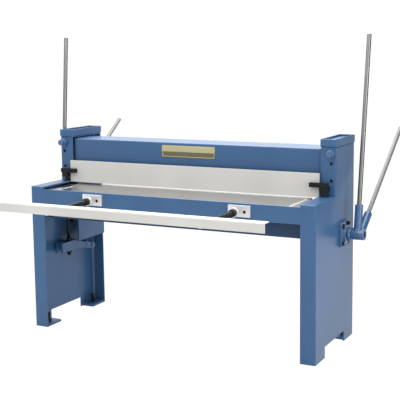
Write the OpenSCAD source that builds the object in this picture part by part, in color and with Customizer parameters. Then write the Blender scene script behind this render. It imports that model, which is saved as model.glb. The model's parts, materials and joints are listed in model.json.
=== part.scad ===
// Hand-lever guillotine shear for sheet metal, standing on two folded side frames.
// Millimetres: X to the operator's right, Y to the back, Z up.
// The origin is on the floor, in the middle of the four anchor holes.

/* [Side frames] */
// Width over the outer faces of the two side frames
frame_w = 1800; // [1400:10:2400]
// Depth of a side frame from front to back
frame_d = 620; // [560:5:760]
// Height of the shoulders at both ends of the table
shoulder_h = 854; // [800:1:920]
// Height of the towers that guide the blade beam
tower_h = 1125; // [1105:1:1200]
// Depth of a tower
tower_d = 310; // [300:1:340]
// Sheet thickness of a side frame
side_t = 8; // [6:0.5:9]
// Width of the flanges folded inwards
flange_w = 87; // [86:1:96]
// Outer radius of the folds
bend_r = 7; // [3:0.5:10]
// Height of the notch between the feet
notch_h = 61; // [30:1:120]
// Length of a front foot
front_foot_l = 146; // [142:1:180]
// Length of a rear foot
rear_foot_l = 155; // [142:1:180]
// Height of a tower cap
cap_h = 41; // [24:1:50]
// Overhang of a tower cap
cap_over = 3; // [0:0.5:6]
// Wall of a tower cap
cap_wall = 9; // [6:0.5:14]
// Depth of the trays in the top and the underside of a tower cap
cap_recess = 11; // [4:0.5:11]

/* [Feet] */
// Length of a foot plate, from front to back
foot_plate_l = 130; // [110:1:136]
// Width of a foot plate
foot_plate_w = 79; // [74:1:140]
// Thickness of a foot plate
foot_plate_t = 12; // [8:1:20]
// Diameter of an anchor hole
anchor_d = 14; // [10:0.5:18]
// Distance from an anchor hole to the side sheet
anchor_inset = 60; // [56:1:66]
// Diameter of a levelling screw
level_d = 16; // [12:1:20]
// Height of a levelling screw under its head
level_h = 56; // [46:1:90]
// Distance from a levelling screw to the side sheet
level_inset = 34; // [26:1:36]

/* [Table] */
// Height of the shoulders over the table
table_drop = 14; // [10:1:20]
// Length of the raised part of the steel table plate
table_l = 1490; // [1200:10:1500]
// Thickness of the table plate
table_t = 12; // [8:1:20]
// Step down from the raised part to the table plate's ends
table_step = 6; // [2:0.5:7]
// Width of the side stop's slot in the table plate
table_slot_w = 26; // [12:1:30]
// Length of that slot
table_slot_l = 92; // [60:1:150]
// Distance of that slot from the left end of the raised part
table_slot_inset = 34; // [25:1:60]
// Distance of that slot's middle from the front of the table plate
table_slot_back = 96; // [80:1:200]
// Height of the apron
apron_h = 90; // [84:1:110]
// Thickness of the apron
apron_t = 10; // [6:1:12]
// Step from the table down to the apron's top edge
apron_drop = 2; // [0:0.5:4]
// Distance of the tie panel behind the frame's front
tie_set = 48; // [30:1:80]
// Lower edge of the tie panel under the table
tie_below = 176; // [150:1:200]
// Thickness of the tie panel
tie_t = 8; // [5:1:12]
// Thickness of the bed plate under the table plate
bed_t = 12; // [8:1:16]
// Reach of the bed plate under the shoulders
bed_reach = 18; // [10:1:19]
// Thickness of the bed web behind the table
bed_web_t = 20; // [16:1:26]
// Height of the bed web
bed_web_h = 190; // [170:1:220]
// Thickness of a bed rib
bed_rib_t = 10; // [6:1:14]
// Height of a bed rib's front end over the tie panel's lower edge
bed_rib_front = 54; // [30:1:80]
// Height of a bed rib's back end over the bed web's lower edge
bed_rib_back = 20; // [10:1:60]
// Distance of the outer bed ribs from the middle
bed_rib_x = 640; // [540:5:660]
// Thickness of a bed bracket
bracket_t = 12; // [8:1:16]
// Height of a bed bracket
bracket_h = 140; // [120:1:150]
// Lap of a bed bracket on the bed web
bracket_lap = 70; // [50:1:90]
// Diameter of a bed bolt
bed_bolt_d = 16; // [12:1:20]

/* [Blades] */
// Length of both blades
blade_l = 1520; // [1040:10:1520]
// Height of the lower blade
lower_blade_h = 50; // [44:1:54]
// Thickness of the lower blade
lower_blade_t = 20; // [18:1:24]
// Height of the upper blade
upper_blade_h = 80; // [74:1:90]
// Thickness of the upper blade
upper_blade_t = 12; // [11:1:18]
// Rise of the upper blade's edge along its length
rake_h = 31; // [10:1:40]
// Height of the upper edge over the table at rest, at its low end
blade_open = 12; // [11:1:16]
// Gap between the two blades
blade_gap = 0.3; // [0.1:0.05:0.5]
// Distance of the cutting plane behind the tower front
shear_set = 8; // [6:0.5:12]
// Diameter of a blade screw
blade_screw_d = 10; // [8:1:12]
// Distance of the end screws from a blade's ends
blade_screw_inset = 60; // [40:1:80]
// Least lap of the upper blade on the beam's web
blade_lap = 40; // [36:1:46]
// Least gap between a blade's end and the gibs
blade_clear = 3; // [1:0.5:10]

/* [Blade beam] */
// Distance of the beam's top under the tower top
beam_under = 15; // [10:1:30]
// Height of the beam's front web
beam_h = 225; // [215:1:235]
// Depth of the beam
beam_d = 205; // [160:1:240]
// Thickness of the front web
beam_web_t = 15; // [10:1:20]
// Thickness of the beam's top
beam_top_t = 12; // [8:1:16]
// Height of the rear lip
beam_lip_h = 80; // [50:1:110]
// Thickness of a rib behind the web
beam_rib_t = 10; // [6:1:14]
// Height of a rib's lower end over the web's lower edge
beam_rib_up = 30; // [10:1:50]
// Distance of a rib from the middle
beam_rib_x = 270; // [200:5:400]
// Thickness of a side plate of the beam
drop_t = 12; // [10:1:14]
// Depth of a side plate's wide part under the beam
drop_step = 60; // [40:1:80]
// Height of the slope above that part
drop_slope = 70; // [40:1:90]
// Gap between a side plate and the flanges
drop_gap = 3; // [1:0.5:4]
// Reach of a side plate below the cross shaft
drop_below = 164; // [150:1:180]
// Height of a guide block
guide_h = 140; // [100:1:160]
// Thickness of a guide block, from front to back
guide_t = 60; // [40:1:70]
// Thickness of a front gib
gib_t = 14; // [12:0.5:16]
// Distance of the gibs and rails from the flange's inner edge
gib_set = 9; // [6:0.5:14]
// Thickness of a rear guide rail
rail_t = 20; // [14:1:26]
// Play of a guide block between gib and rail
guide_play = 0.3; // [0.1:0.05:0.4]
// Diameter of a guide bolt's shank
gib_bolt_d = 24; // [20:1:26]
// Diameter of a guide bolt's collar on the tower front
gib_collar_d = 46; // [36:1:46]
// Length of that collar
gib_collar_l = 21; // [12:1:30]
// Diameter of a guide bolt's round head
gib_head_d = 35; // [28:1:36]
// Length of that head
gib_head_l = 24; // [12:1:40]
// Diameter of a gib set screw
gib_screw_d = 20; // [12:1:22]
// Distance of the guide bolts and set screws from the outer face
gib_screw_inset = 28; // [28:0.5:34]
// Distance of the guide bolts under the beam's top
gib_bolt_drop = 22; // [10:1:26]
// Distance of the upper set screws under the beam's top
gib_screw_drop = 77; // [64:1:90]
// Distance from an upper to a lower set screw
gib_screw_step = 95; // [70:1:105]

/* [Lever shaft] */
// Height of the cross shaft
shaft_h = 632; // [615:1:640]
// Distance of the cross shaft from the frame's back
shaft_from_back = 190; // [180:1:200]
// Diameter of the cross shaft
shaft_d = 40; // [36:0.5:42]
// Swing of the levers in degrees
swing = 60; // [40:1:60]
// Radius of the cranks
crank_r = 60; // [56:0.5:62]
// Thickness of a crank
crank_t = 20; // [14:1:24]
// Gap between a crank and the beam's side plate
crank_gap = 8; // [6:0.5:9]
// Diameter of a crank roller
roller_d = 30; // [26:0.5:32]
// Play of a roller in its slot, above and below
roller_play = 0.9; // [0.8:0.05:1.5]
// Side of a bearing's square flange
bearing_w = 144; // [130:1:150]
// Corner radius of a bearing's flange
bearing_corner = 30; // [18:1:36]
// Thickness of a bearing's flange
bearing_t = 15; // [12:1:18]
// Diameter of a bearing's round boss
bearing_boss_d = 98; // [88:1:104]
// Height of a bearing's boss over its flange
bearing_boss_h = 16; // [10:1:20]
// Spacing of a bearing's bolts
bearing_bolt_s = 98; // [94:1:106]
// Diameter of a bearing bolt
bearing_bolt_d = 14; // [10:1:16]
// Outer diameter of a bearing's inner ring
ring_d = 68; // [54:0.5:72]
// Diameter of the screw that clamps the ring on the shaft
ring_screw_d = 10; // [8:0.5:12]
// Diameter of that screw's head
ring_head_d = 20; // [14:0.5:20]
// Height of that screw's head over the ring
ring_head_h = 10; // [4:0.5:12]
// End of a bearing's inner ring, out from the side sheet
ring_reach = 53; // [48:0.5:60]
// Diameter of a lever hub
hub_d = 63; // [56:0.5:70]
// Distance of the shaft's ends inside the lever hubs
shaft_short = 8; // [0:0.5:12]
// Length of a lever hub
hub_l = 75; // [72:1:90]
// Diameter of a lever socket
socket_d = 45; // [38:0.5:48]
// Reach of a lever socket from the shaft's axis
socket_l = 165; // [140:1:200]
// Distance of the upright lever from the inner end of its hub
upright_set = 32; // [26:0.5:34]
// Distance of the rear lever from the inner end of its hub
rear_set = 48; // [40:0.5:48]
// Wall between the shaft and a lever bar's lower end
seat_wall = 28; // [20:1:40]
// Diameter of a lever bar
lever_d = 25.4; // [20:0.1:28]
// Chamfer at a lever bar's free end
lever_chamfer = 2; // [0.5:0.5:4]
// Lean of the upright levers to the back, in degrees
upright_lean = 6; // [0:0.5:12]
// Lean of the rear levers to the back, in degrees
rear_lean = 54.3; // [45:0.1:60]
// Splay of the levers outwards, in degrees
lever_splay = 1; // [0:0.1:2]
// Reach of an upright lever from the shaft's axis
upright_reach = 1106; // [700:1:1300]
// Reach of a rear lever from the shaft's axis
rear_reach = 915; // [600:1:1300]

/* [Hold-down] */
// Thickness of the hold-down plate
hold_t = 15; // [10:1:16]
// Height of the hold-down plate
hold_h = 131; // [110:1:150]
// Gap between the hold-down plate and the table at rest
hold_open = 9; // [8.5:0.5:12]
// Distance from the hold-down plate to the cutting plane
hold_gap = 23; // [20:1:26]
// Diameter of a hold-down rod
rod_d = 22; // [18:0.5:24]
// Distance of the rods from the outer faces
rod_inset = 56; // [54:0.5:58]
// Distance of the rods in front of the towers
rod_set = 27; // [26:0.5:30]
// Width of a hold-down bracket's block
block_w = 44; // [38:1:46]
// Depth of a hold-down bracket's block
block_d = 44; // [40:1:46]
// Height of a hold-down bracket's block
block_h = 31; // [28:1:34]
// Height of the block's underside over the table
block_z = 40; // [38:1:70]
// Reach of a bracket's bar from its block over the hold-down plate
tongue_l = 60; // [56:1:90]
// Reach of a bracket's bar past its block
tongue_end = 3; // [0:1:12]
// Height of a bracket's bar
tongue_h = 24; // [22:1:30]
// Thickness of a bracket's bar
tongue_t = 22; // [16:1:26]
// Diameter of a screw that holds a bracket's bar
bracket_screw_d = 8; // [5:1:10]
// Height of a hold-down arm's pivot
pivot_h = 397; // [390:1:404]
// Distance of an arm's pivot from the frame's back
pivot_from_back = 90; // [80:1:100]
// Diameter of an arm's pivot
pivot_d = 20; // [16:0.5:24]
// Thickness of a hold-down arm
arm_t = 20; // [16:1:24]
// Height of the fork's middle
fork_z = 445; // [440:1:450]
// Height of the fork
fork_h = 60; // [50:1:66]
// Width of the fork
fork_w = 50; // [46:1:54]
// Reach of the fork in front of the rod
fork_reach = 100; // [70:1:120]
// Play of a rod in its fork
fork_play = 1.5; // [1:0.1:2]
// Diameter of a spring's wire
wire_d = 5; // [3:0.25:6]
// Mean diameter of a spring
spring_d = 27; // [22:0.5:28]
// Turns of a spring
spring_turns = 7; // [4:1:7]
// Length of a spring at rest
spring_l = 105; // [95:1:110]
// Height of a spring's top over the lower end of the beam's side plate
spring_rise = 77; // [70:1:84]
// Distance of a spring in front of the arm's pivot
spring_set = 70; // [60:1:76]

/* [Front gauge] */
// Length of the gauge bar
bar_l = 1600; // [1200:10:1780]
// Shift of the gauge bar to the left of the middle
bar_shift = 10; // [0:1:40]
// Height of the gauge bar's face
bar_h = 50; // [46:1:70]
// Depth of the gauge bar's top
bar_d = 55; // [40:1:70]
// Thickness of the gauge bar
bar_t = 5; // [3:0.5:8]
// Outer radius of the gauge bar's fold
bar_bend = 7; // [4:0.5:10]
// Distance from the apron to the gauge bar's face at rest
bar_out = 407; // [300:1:420]
// Distance of the gauge bar's top edge under the table
bar_under = 15; // [10:1:24]
// Diameter of a gauge rod
gauge_rod_d = 28; // [20:0.5:30]
// Height of the gauge rods under the table
gauge_rod_under = 52; // [50:0.5:56]
// Length of a gauge rod
gauge_rod_l = 530; // [490:1:540]
// Wall of the boss that holds a rod on the bar
boss_wall = 4; // [2:0.5:4]
// Length of that boss
boss_l = 18; // [10:1:30]
// Half of the distance between the two rod blocks
rod_block_x = 465; // [300:1:560]
// Shift of both rod blocks to the right of the middle
rod_block_shift = 5; // [0:1:40]
// Width of a rod block
rod_block_w = 130; // [120:1:150]
// Height of a rod block
rod_block_h = 62; // [58:1:66]
// Depth of a rod block
rod_block_d = 14; // [13:1:24]
// Diameter of a block's round boss
rod_boss_d = 52; // [46:1:56]
// Height of that boss
rod_boss_l = 8; // [4:1:16]
// Distance of a rod from the middle of its block
rod_offset = 31; // [28:0.5:34]
// Diameter of a block's fixing screw
block_screw_d = 11; // [8:1:12]
// Wall of a block under its screw's head
block_floor = 4; // [3:0.5:6]
// Diameter of a lock nut
lock_nut_d = 42; // [40:0.5:46]
// Length of a lock nut
lock_nut_l = 24; // [16:1:34]

/* [Clearances] */
// Radial clearance of the shaft in its bearings and of the arms on their pivots
run_play = 0.05; // [0.02:0.01:0.1]
// Radial clearance of a sliding or screwed pin in its hole
slip_play = 0.2; // [0.1:0.05:0.3]
// Clearance between faces of pieces that move past each other
face_play = 0.3; // [0.2:0.05:0.5]
// Clearance round the shaft where it passes a sheet
pass_play = 1.5; // [1:0.1:3]

/* [Hidden] */
$fn = 64;
eps = 1;
blue = [0.31, 0.44, 0.60];
pale = [0.84, 0.83, 0.81];
steel = [0.68, 0.68, 0.67];
bright = [0.60, 0.59, 0.57];
black = [0.08, 0.08, 0.08];
bronze = [0.70, 0.53, 0.27];

// Diameter of a hole that a pin of diameter d slides or screws into, and of one that it turns in
function hole(d) = d + 2 * slip_play;
function running(d) = d + 2 * run_play;

half_w = frame_w / 2;
in_x = half_w - side_t;
lip_x = half_w - flange_w;
front_y = -frame_d / 2;
back_y = frame_d / 2;
tower_y = back_y - tower_d;

table_z = shoulder_h - table_drop;
bed_z1 = table_z - table_t;
bed_z0 = bed_z1 - bed_t;
bed_y0 = front_y + apron_t;
apron_z1 = table_z - apron_drop;
apron_z0 = apron_z1 - apron_h;
tie_y = front_y + tie_set;
tie_z0 = table_z - tie_below;

shear_y = tower_y + shear_set;
lower_y1 = shear_y - blade_gap;
lower_y0 = lower_y1 - lower_blade_t;
web_y0 = lower_y0 - bed_web_t;
beam_y = shear_y + upper_blade_t;
beam_y1 = beam_y + beam_d;
beam_z1 = tower_h - beam_under;
edge_z = table_z + blade_open;
beam_z0 = min(beam_z1 - beam_h, edge_z + upper_blade_h - blade_lap);

drop_x1 = lip_x - drop_gap;
drop_x0 = drop_x1 - drop_t;
shaft_y = back_y - shaft_from_back;
drop_z0 = shaft_h - drop_below;
drop_y1 = back_y - side_t - eps;
roller_y = shaft_y - crank_r * cos(swing / 2);
roller_z = shaft_h + crank_r * sin(swing / 2);
beam_stroke = 2 * crank_r * sin(swing / 2);
slot_h = roller_d + 2 * roller_play;
slot_y0 = shaft_y - crank_r - roller_d / 2 - roller_play;
slot_y1 = roller_y + roller_d / 2 + roller_play;
shaft_slot_w = shaft_d + 2 * pass_play;

crank_x0 = drop_x1 + crank_gap;
crank_hub_d = 2 * shaft_d;
crank_eye_d = 1.6 * roller_d;
crank_arm_w = crank_eye_d - 8;
crank_pin_d = 0.7 * roller_d;
crank_head_d = slot_h + 8;
crank_head_t = 6;

guide_y0 = tower_y + side_t + gib_t + guide_play;
rail_y0 = guide_y0 + guide_t + guide_play;
guide_x1 = in_x - 24;
guide_z1 = beam_z1 - 40;
guide_low = guide_z1 - guide_h - beam_stroke - 5;
gib_x0 = max(lip_x + gib_set, blade_l / 2 + blade_clear);
gib_z1 = beam_z1 + 2;
gib_screw_x = half_w - gib_screw_inset;
gib_chamfer = 3;
gib_bolt_z = beam_z1 - gib_bolt_drop;
gib_screw_zs = [beam_z1 - gib_screw_drop, beam_z1 - gib_screw_drop - gib_screw_step];

rod_x = half_w - rod_inset;
rod_y = tower_y - rod_set;
hold_y0 = shear_y - hold_gap - hold_t;
hold_y1 = hold_y0 + hold_t;
hold_z0 = table_z + hold_open;
hold_z1 = hold_z0 + hold_h;
hold_half = lip_x - 1;
hem_d = hold_t + 9;
hem_h = 9;
block_z0 = table_z + block_z;
block_z1 = block_z0 + block_h;
tongue_x0 = rod_x - block_w / 2 - tongue_l;
tongue_x1 = rod_x + block_w / 2 + tongue_end;
tongue_seat = 4;
tongue_z1 = block_z1 + tongue_h - tongue_seat;
tongue_screw_xs = [tongue_x0 + 16, tongue_x0 + 40];
bush_d = rod_d + 10;
bush_rim_d = bush_d + 8;
bush_rim_t = 4;
bush_low = 10;

pivot_y = back_y - pivot_from_back;
pivot_boss_d = pivot_d + 24;
fork_z0 = fork_z - fork_h / 2;
fork_z1 = fork_z + fork_h / 2;
fork_y0 = rod_y - fork_reach;
fork_y1 = rod_y + 36;
fork_slot_w = rod_d + 2 * fork_play;
nut_gap = 1;
rod_nut_h = 16;
rod_nut_af = rod_d + 10;
rod_z0 = fork_z0 - nut_gap - rod_nut_h - 14;
spring_y = pivot_y - spring_set;
spring_z1 = drop_z0 + spring_rise;
spring_z0 = spring_z1 - spring_l;
spring_pad_d = spring_d + wire_d + 4;
spring_rings_per_turn = 8;
spring_sides = 6;
spring_ring_count = spring_turns * spring_rings_per_turn;
spring_low = spring_z0 + wire_d / 2 + face_play;
spring_high = spring_z1 - wire_d / 2 - face_play;
tab_t = 12;
tab_w = 44;
tab_x1 = rod_x + spring_pad_d / 2;

bearing_x1 = half_w + bearing_t;
boss_x1 = bearing_x1 + bearing_boss_h;
ring_x1 = half_w + ring_reach;
hub_x0 = ring_x1;
hub_x1 = hub_x0 + hub_l;
lever_seat = shaft_d / 2 + seat_wall;

bar_y0 = front_y - bar_out;
bar_z1 = table_z - bar_under;
bar_z0 = bar_z1 - bar_h;
gauge_rod_z = table_z - gauge_rod_under;
gauge_rod_y0 = bar_y0 + bar_t;
boss_d = gauge_rod_d + 2 * boss_wall;
rod_block_xs = [rod_block_shift - rod_block_x, rod_block_shift + rod_block_x];
gauge_rod_xs = [for (x = rod_block_xs) x - rod_offset];
block_screw_xs = [for (x = rod_block_xs) x + rod_offset];
rod_block_z1 = apron_z1 - 9;
block_screw_z = rod_block_z1 - rod_block_h / 2 - 3;
rod_block_y0 = front_y - rod_block_d;
rod_boss_y0 = rod_block_y0 - rod_boss_l;
block_head_y = front_y - block_floor;
block_head_d = 1.6 * block_screw_d;
block_head_h = 0.75 * block_screw_d;
rod_pass_d = gauge_rod_d + 2 * pass_play;

anchor_x = in_x - anchor_inset;
anchor_y = back_y - side_t - foot_plate_l / 2;
level_x = in_x - level_inset;
foot_corner = 6;

blade_screw_count = 8;
blade_screw_pitch = (blade_l - 2 * blade_screw_inset) / (blade_screw_count - 1);
blade_screw_xs = [for (i = [0:blade_screw_count - 1])
    blade_screw_inset - blade_l / 2 + i * blade_screw_pitch];
blade_head_d = 1.6 * blade_screw_d;
blade_head_h = 6;
head_sink = 1;
lower_screw_z = table_z - lower_blade_h / 2;
function edge_at(x) = edge_z + rake_h * (0.5 - x / blade_l);
function upper_screw_z(x) = edge_at(x) + 0.65 * upper_blade_h;

bed_bolt_xs = [lip_x - bracket_lap / 2, lip_x - 14];
bracket_z0 = table_z - bed_web_h - table_t;
bracket_z1 = bracket_z0 + bracket_h;

// Shapes that several pieces share

module box(a, b) translate(a) cube(b - a);

module both_sides() {
    children();
    mirror([1, 0, 0]) children();
}

module left_side() mirror([1, 0, 0]) children();

module bar_x(x0, x1, y, z, d) translate([x0, y, z]) rotate([0, 90, 0]) cylinder(h = x1 - x0, d = d);

module bar_y(y0, y1, x, z, d) translate([x, y0, z]) rotate([-90, 0, 0]) cylinder(h = y1 - y0, d = d);

module bar_z(z0, z1, x, y, d) translate([x, y, z0]) cylinder(h = z1 - z0, d = d);

module hex_z(z0, z1, x, y, across) translate([x, y, z0]) cylinder(h = z1 - z0, d = across / cos(30), $fn = 6);

module hex_y(y0, y1, x, z, across)
    translate([x, y0, z]) rotate([-90, 0, 0]) cylinder(h = y1 - y0, d = across / cos(30), $fn = 6);

module hex_x(x0, x1, y, z, across)
    translate([x0, y, z]) rotate([0, 90, 0]) cylinder(h = x1 - x0, d = across / cos(30), $fn = 6);

// A flat outline in Y and Z, made thick along X
module extrude_x(x0, x1) translate([x0, 0, 0]) rotate([90, 0, 90]) linear_extrude(x1 - x0) children();

// A flat outline in X and Z, made thick along Y
module extrude_y(y0, y1) translate([0, y1, 0]) rotate([90, 0, 0]) linear_extrude(y1 - y0) children();

// A round bar along Z from the origin, chamfered at its upper end
module chamfered_bar(l, d, chamfer) {
    cylinder(h = l - chamfer, d = d);
    translate([0, 0, l - chamfer]) cylinder(h = chamfer, d1 = d, d2 = d - 2 * chamfer);
}

// A rectangle from a to b. Corners run anticlockwise from a, and those marked 1 are rounded
module soft_rect(a, b, r, round) {
    corner = [a, [b.x, a.y], b, [a.x, b.y]];
    inward = [[1, 1], [-1, 1], [-1, -1], [1, -1]];
    difference() {
        translate(a) square(b - a);
        for (i = [0:3])
            if (round[i] == 1)
                translate(corner[i])
                    difference() {
                        translate([min(inward[i].x, 0) * r, min(inward[i].y, 0) * r]) square(r);
                        translate(inward[i] * r) circle(r);
                    }
    }
}

// A block whose outer, front, back and top edges are folds of radius r
module folded_block(a, b, r) {
    intersection() {
        translate([0, 0, a.z]) linear_extrude(b.z - a.z) soft_rect([a.x, a.y], [b.x, b.y], r, [0, 1, 1, 0]);
        extrude_x(a.x, b.x) soft_rect([a.y, a.z], [b.y, b.z], r, [0, 0, 1, 1]);
        extrude_y(a.y, b.y) soft_rect([a.x, a.z], [b.x, b.z], r, [0, 0, 1, 0]);
    }
}

// A plate from a to b with rounded upright corners
module rounded_plate(a, b, r)
    translate([0, 0, a.z]) linear_extrude(b.z - a.z) soft_rect([a.x, a.y], [b.x, b.y], r, [1, 1, 1, 1]);

// Side frames

module gib_holes(y0, y1, bolt_d, screw_d) {
    bar_y(y0, y1, gib_screw_x, gib_bolt_z, bolt_d);
    for (z = gib_screw_zs)
        bar_y(y0, y1, gib_screw_x, z, screw_d);
}

module bearing_bolt_places()
    for (y = [-1, 1], z = [-1, 1])
        translate([0, shaft_y + y * bearing_bolt_s / 2, shaft_h + z * bearing_bolt_s / 2]) children();

module side_frame() {
    color(blue)
    difference() {
        union() {
            folded_block([lip_x, front_y, 0], [half_w, back_y, shoulder_h], bend_r);
            folded_block([lip_x, tower_y, 0], [half_w, back_y, tower_h], bend_r);
        }
        box([lip_x - eps, front_y + side_t, -eps], [in_x, back_y - side_t, shoulder_h - side_t]);
        box([lip_x - eps, tower_y + side_t, 0], [in_x, back_y - side_t, tower_h - side_t]);
        box([in_x - eps, front_y + front_foot_l, -eps], [half_w + eps, back_y - rear_foot_l, notch_h]);
        bar_x(in_x - eps, half_w + eps, shaft_y, shaft_h, shaft_d + 2 * pass_play);
        bearing_bolt_places() bar_x(in_x - eps, half_w + eps, 0, 0, hole(bearing_bolt_d));
        bar_z(shoulder_h - side_t - eps, shoulder_h + eps, rod_x, rod_y, hole(bush_d));
        gib_holes(tower_y - eps, tower_y + side_t + eps, hole(gib_bolt_d), hole(gib_screw_d));
    }
}

module tower_cap() {
    a = [lip_x - cap_over, tower_y - cap_over, tower_h];
    b = [half_w + cap_over, back_y + cap_over, tower_h + cap_h];
    wall = [cap_wall, cap_wall, 0];
    color(blue)
    difference() {
        folded_block(a, b, bend_r / 2);
        box(a + wall + [0, 0, cap_h - cap_recess], b - wall + [0, 0, eps]);
        box(a + wall - [0, 0, eps], b - wall - [0, 0, cap_h - cap_recess]);
    }
}

module front_gibs() {
    color(black)
    both_sides()
        difference() {
            box([gib_x0, tower_y + side_t, guide_low], [in_x, tower_y + side_t + gib_t, gib_z1]);
            gib_holes(tower_y, tower_y + side_t + gib_t + eps, hole(gib_bolt_d),
                hole(gib_screw_d));
        }
}

module guide_rails() {
    color(bright)
    both_sides() box([gib_x0, rail_y0, guide_low], [in_x, rail_y0 + rail_t, gib_z1]);
}

module gib_bolts() {
    color(blue)
    both_sides() {
        translate([gib_screw_x, tower_y, gib_bolt_z]) rotate([90, 0, 0]) {
            chamfered_bar(gib_collar_l, gib_collar_d, gib_chamfer);
            chamfered_bar(gib_collar_l + gib_head_l, gib_head_d, gib_chamfer);
        }
        bar_y(tower_y, tower_y + side_t + gib_t - eps, gib_screw_x, gib_bolt_z, gib_bolt_d);
    }
}

module gib_set_screws() {
    color(black)
    both_sides()
        for (z = gib_screw_zs)
            difference() {
                bar_y(tower_y + 4, tower_y + side_t + gib_t - eps, gib_screw_x, z, gib_screw_d);
                hex_y(tower_y + 3, tower_y + 9, gib_screw_x, z, gib_screw_d / 2);
            }
}

// Feet

module foot_places()
    for (y = [-1, 1])
        translate([0, y * anchor_y, 0]) children();

module foot_plates() {
    color(blue)
    both_sides() foot_places()
        difference() {
            rounded_plate([in_x - foot_plate_w, -foot_plate_l / 2, 0],
                [in_x, foot_plate_l / 2, foot_plate_t], foot_corner);
            bar_z(-eps, foot_plate_t + eps, anchor_x, 0, anchor_d);
            bar_z(-eps, foot_plate_t + eps, level_x, 0, hole(level_d));
        }
}

module levelling_screws() {
    color(black)
    both_sides() foot_places() {
        bar_z(0, level_h, level_x, 0, level_d);
        hex_z(level_h, level_h + 0.6 * level_d, level_x, 0, 1.5 * level_d);
    }
}

module levelling_nuts() {
    color(black)
    both_sides() foot_places()
        difference() {
            hex_z(foot_plate_t, foot_plate_t + 0.8 * level_d, level_x, 0, 1.5 * level_d);
            bar_z(foot_plate_t - eps, foot_plate_t + level_d, level_x, 0, hole(level_d));
        }
}

// Table

module gauge_rod_holes(y0, y1)
    for (x = gauge_rod_xs)
        bar_y(y0, y1, x, gauge_rod_z, rod_pass_d);

module block_screw_holes(y0, y1, d)
    for (x = block_screw_xs)
        bar_y(y0, y1, x, block_screw_z, d);

module front_apron() {
    color(blue)
    difference() {
        union() {
            box([-lip_x, front_y, apron_z0], [lip_x, front_y + apron_t, apron_z1]);
            box([-lip_x, front_y, apron_z0], [lip_x, tie_y, apron_z0 + apron_t]);
        }
        gauge_rod_holes(front_y - eps, front_y + apron_t + eps);
        block_screw_holes(front_y - eps, front_y + apron_t + eps, hole(block_screw_d));
    }
}

module front_tie() {
    color(blue)
    difference() {
        box([-in_x, tie_y, tie_z0], [in_x, tie_y + tie_t, bed_z0]);
        gauge_rod_holes(tie_y - eps, tie_y + tie_t + eps);
    }
}

module blade_screw_holes_low(y0, y1, d)
    for (x = blade_screw_xs)
        bar_y(y0, y1, x, lower_screw_z, d);

module bed_bolt_places()
    for (x = bed_bolt_xs, z = [bracket_z0 + 0.25 * bracket_h, bracket_z0 + 0.75 * bracket_h])
        translate([x, 0, z]) children();

module table_bed() {
    rib_y0 = tie_y + tie_t;
    color(blue)
    difference() {
        union() {
            box([-lip_x - bed_reach, bed_y0, bed_z0], [lip_x + bed_reach, web_y0, bed_z1]);
            box([-lip_x, web_y0, bed_z1 - bed_web_h], [lip_x, lower_y0, bed_z1]);
            for (x = [-bed_rib_x, -bed_rib_x / 3, bed_rib_x / 3, bed_rib_x])
                extrude_x(x - bed_rib_t / 2, x + bed_rib_t / 2)
                    polygon([[rib_y0, bed_z0], [rib_y0, tie_z0 + bed_rib_front],
                        [web_y0, bed_z1 - bed_web_h + bed_rib_back], [web_y0, bed_z0]]);
        }
        both_sides() bar_z(bed_z0 - eps, bed_z1 + eps, rod_x, rod_y, rod_d + 2 * pass_play);
        blade_screw_holes_low(web_y0 - eps, lower_y0 + eps, hole(blade_screw_d));
        both_sides() bed_bolt_places()
            bar_y(web_y0 - eps, lower_y0 + eps, 0, 0, hole(bed_bolt_d));
    }
}

module bed_brackets() {
    color(blue)
    both_sides()
        difference() {
            box([lip_x - bracket_lap, lower_y0, bracket_z0], [in_x, lower_y0 + bracket_t, bracket_z1]);
            bed_bolt_places() bar_y(lower_y0 - eps, lower_y0 + bracket_t + eps, 0, 0, hole(bed_bolt_d));
        }
}

module bed_bolts() {
    nut_h = 0.8 * bed_bolt_d;
    color(black)
    both_sides() bed_bolt_places() {
        hex_y(web_y0 - nut_h, web_y0, 0, 0, 1.5 * bed_bolt_d);
        bar_y(web_y0, lower_y0 + bracket_t, 0, 0, bed_bolt_d);
        hex_y(lower_y0 + bracket_t, lower_y0 + bracket_t + 0.6 * bed_bolt_d, 0, 0, 1.5 * bed_bolt_d);
    }
}

module table_plate() {
    slot_x = table_slot_inset - table_l / 2;
    slot_y = bed_y0 + table_slot_back;
    color(steel)
    difference() {
        union() {
            box([-lip_x, bed_y0, bed_z1], [lip_x, lower_y0, table_z - table_step]);
            box([-table_l / 2, bed_y0, bed_z1], [table_l / 2, lower_y0, table_z]);
        }
        rounded_plate([slot_x - table_slot_w / 2, slot_y - table_slot_l / 2, bed_z1 - eps],
            [slot_x + table_slot_w / 2, slot_y + table_slot_l / 2, table_z + eps], table_slot_w / 2);
        both_sides() bar_z(bed_z1 - eps, table_z + eps, rod_x, rod_y, bush_d + 2 * pass_play);
    }
}

// Blades

module lower_blade() {
    color(bright)
    difference() {
        box([-blade_l / 2, lower_y0, table_z - lower_blade_h], [blade_l / 2, lower_y1, table_z]);
        blade_screw_holes_low(lower_y0 - eps, lower_y1 + eps, hole(blade_screw_d));
        blade_screw_holes_low(lower_y1 - blade_head_h - head_sink, lower_y1 + eps, hole(blade_head_d));
    }
}

module lower_blade_screws() {
    color(black)
    for (x = blade_screw_xs)
        difference() {
            union() {
                bar_y(web_y0, lower_y1 - blade_head_h, x, lower_screw_z, blade_screw_d);
                bar_y(lower_y1 - blade_head_h - head_sink, lower_y1 - head_sink, x, lower_screw_z,
                    blade_head_d);
            }
            hex_y(lower_y1 - 5, lower_y1, x, lower_screw_z, 0.8 * blade_screw_d);
        }
}

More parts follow.
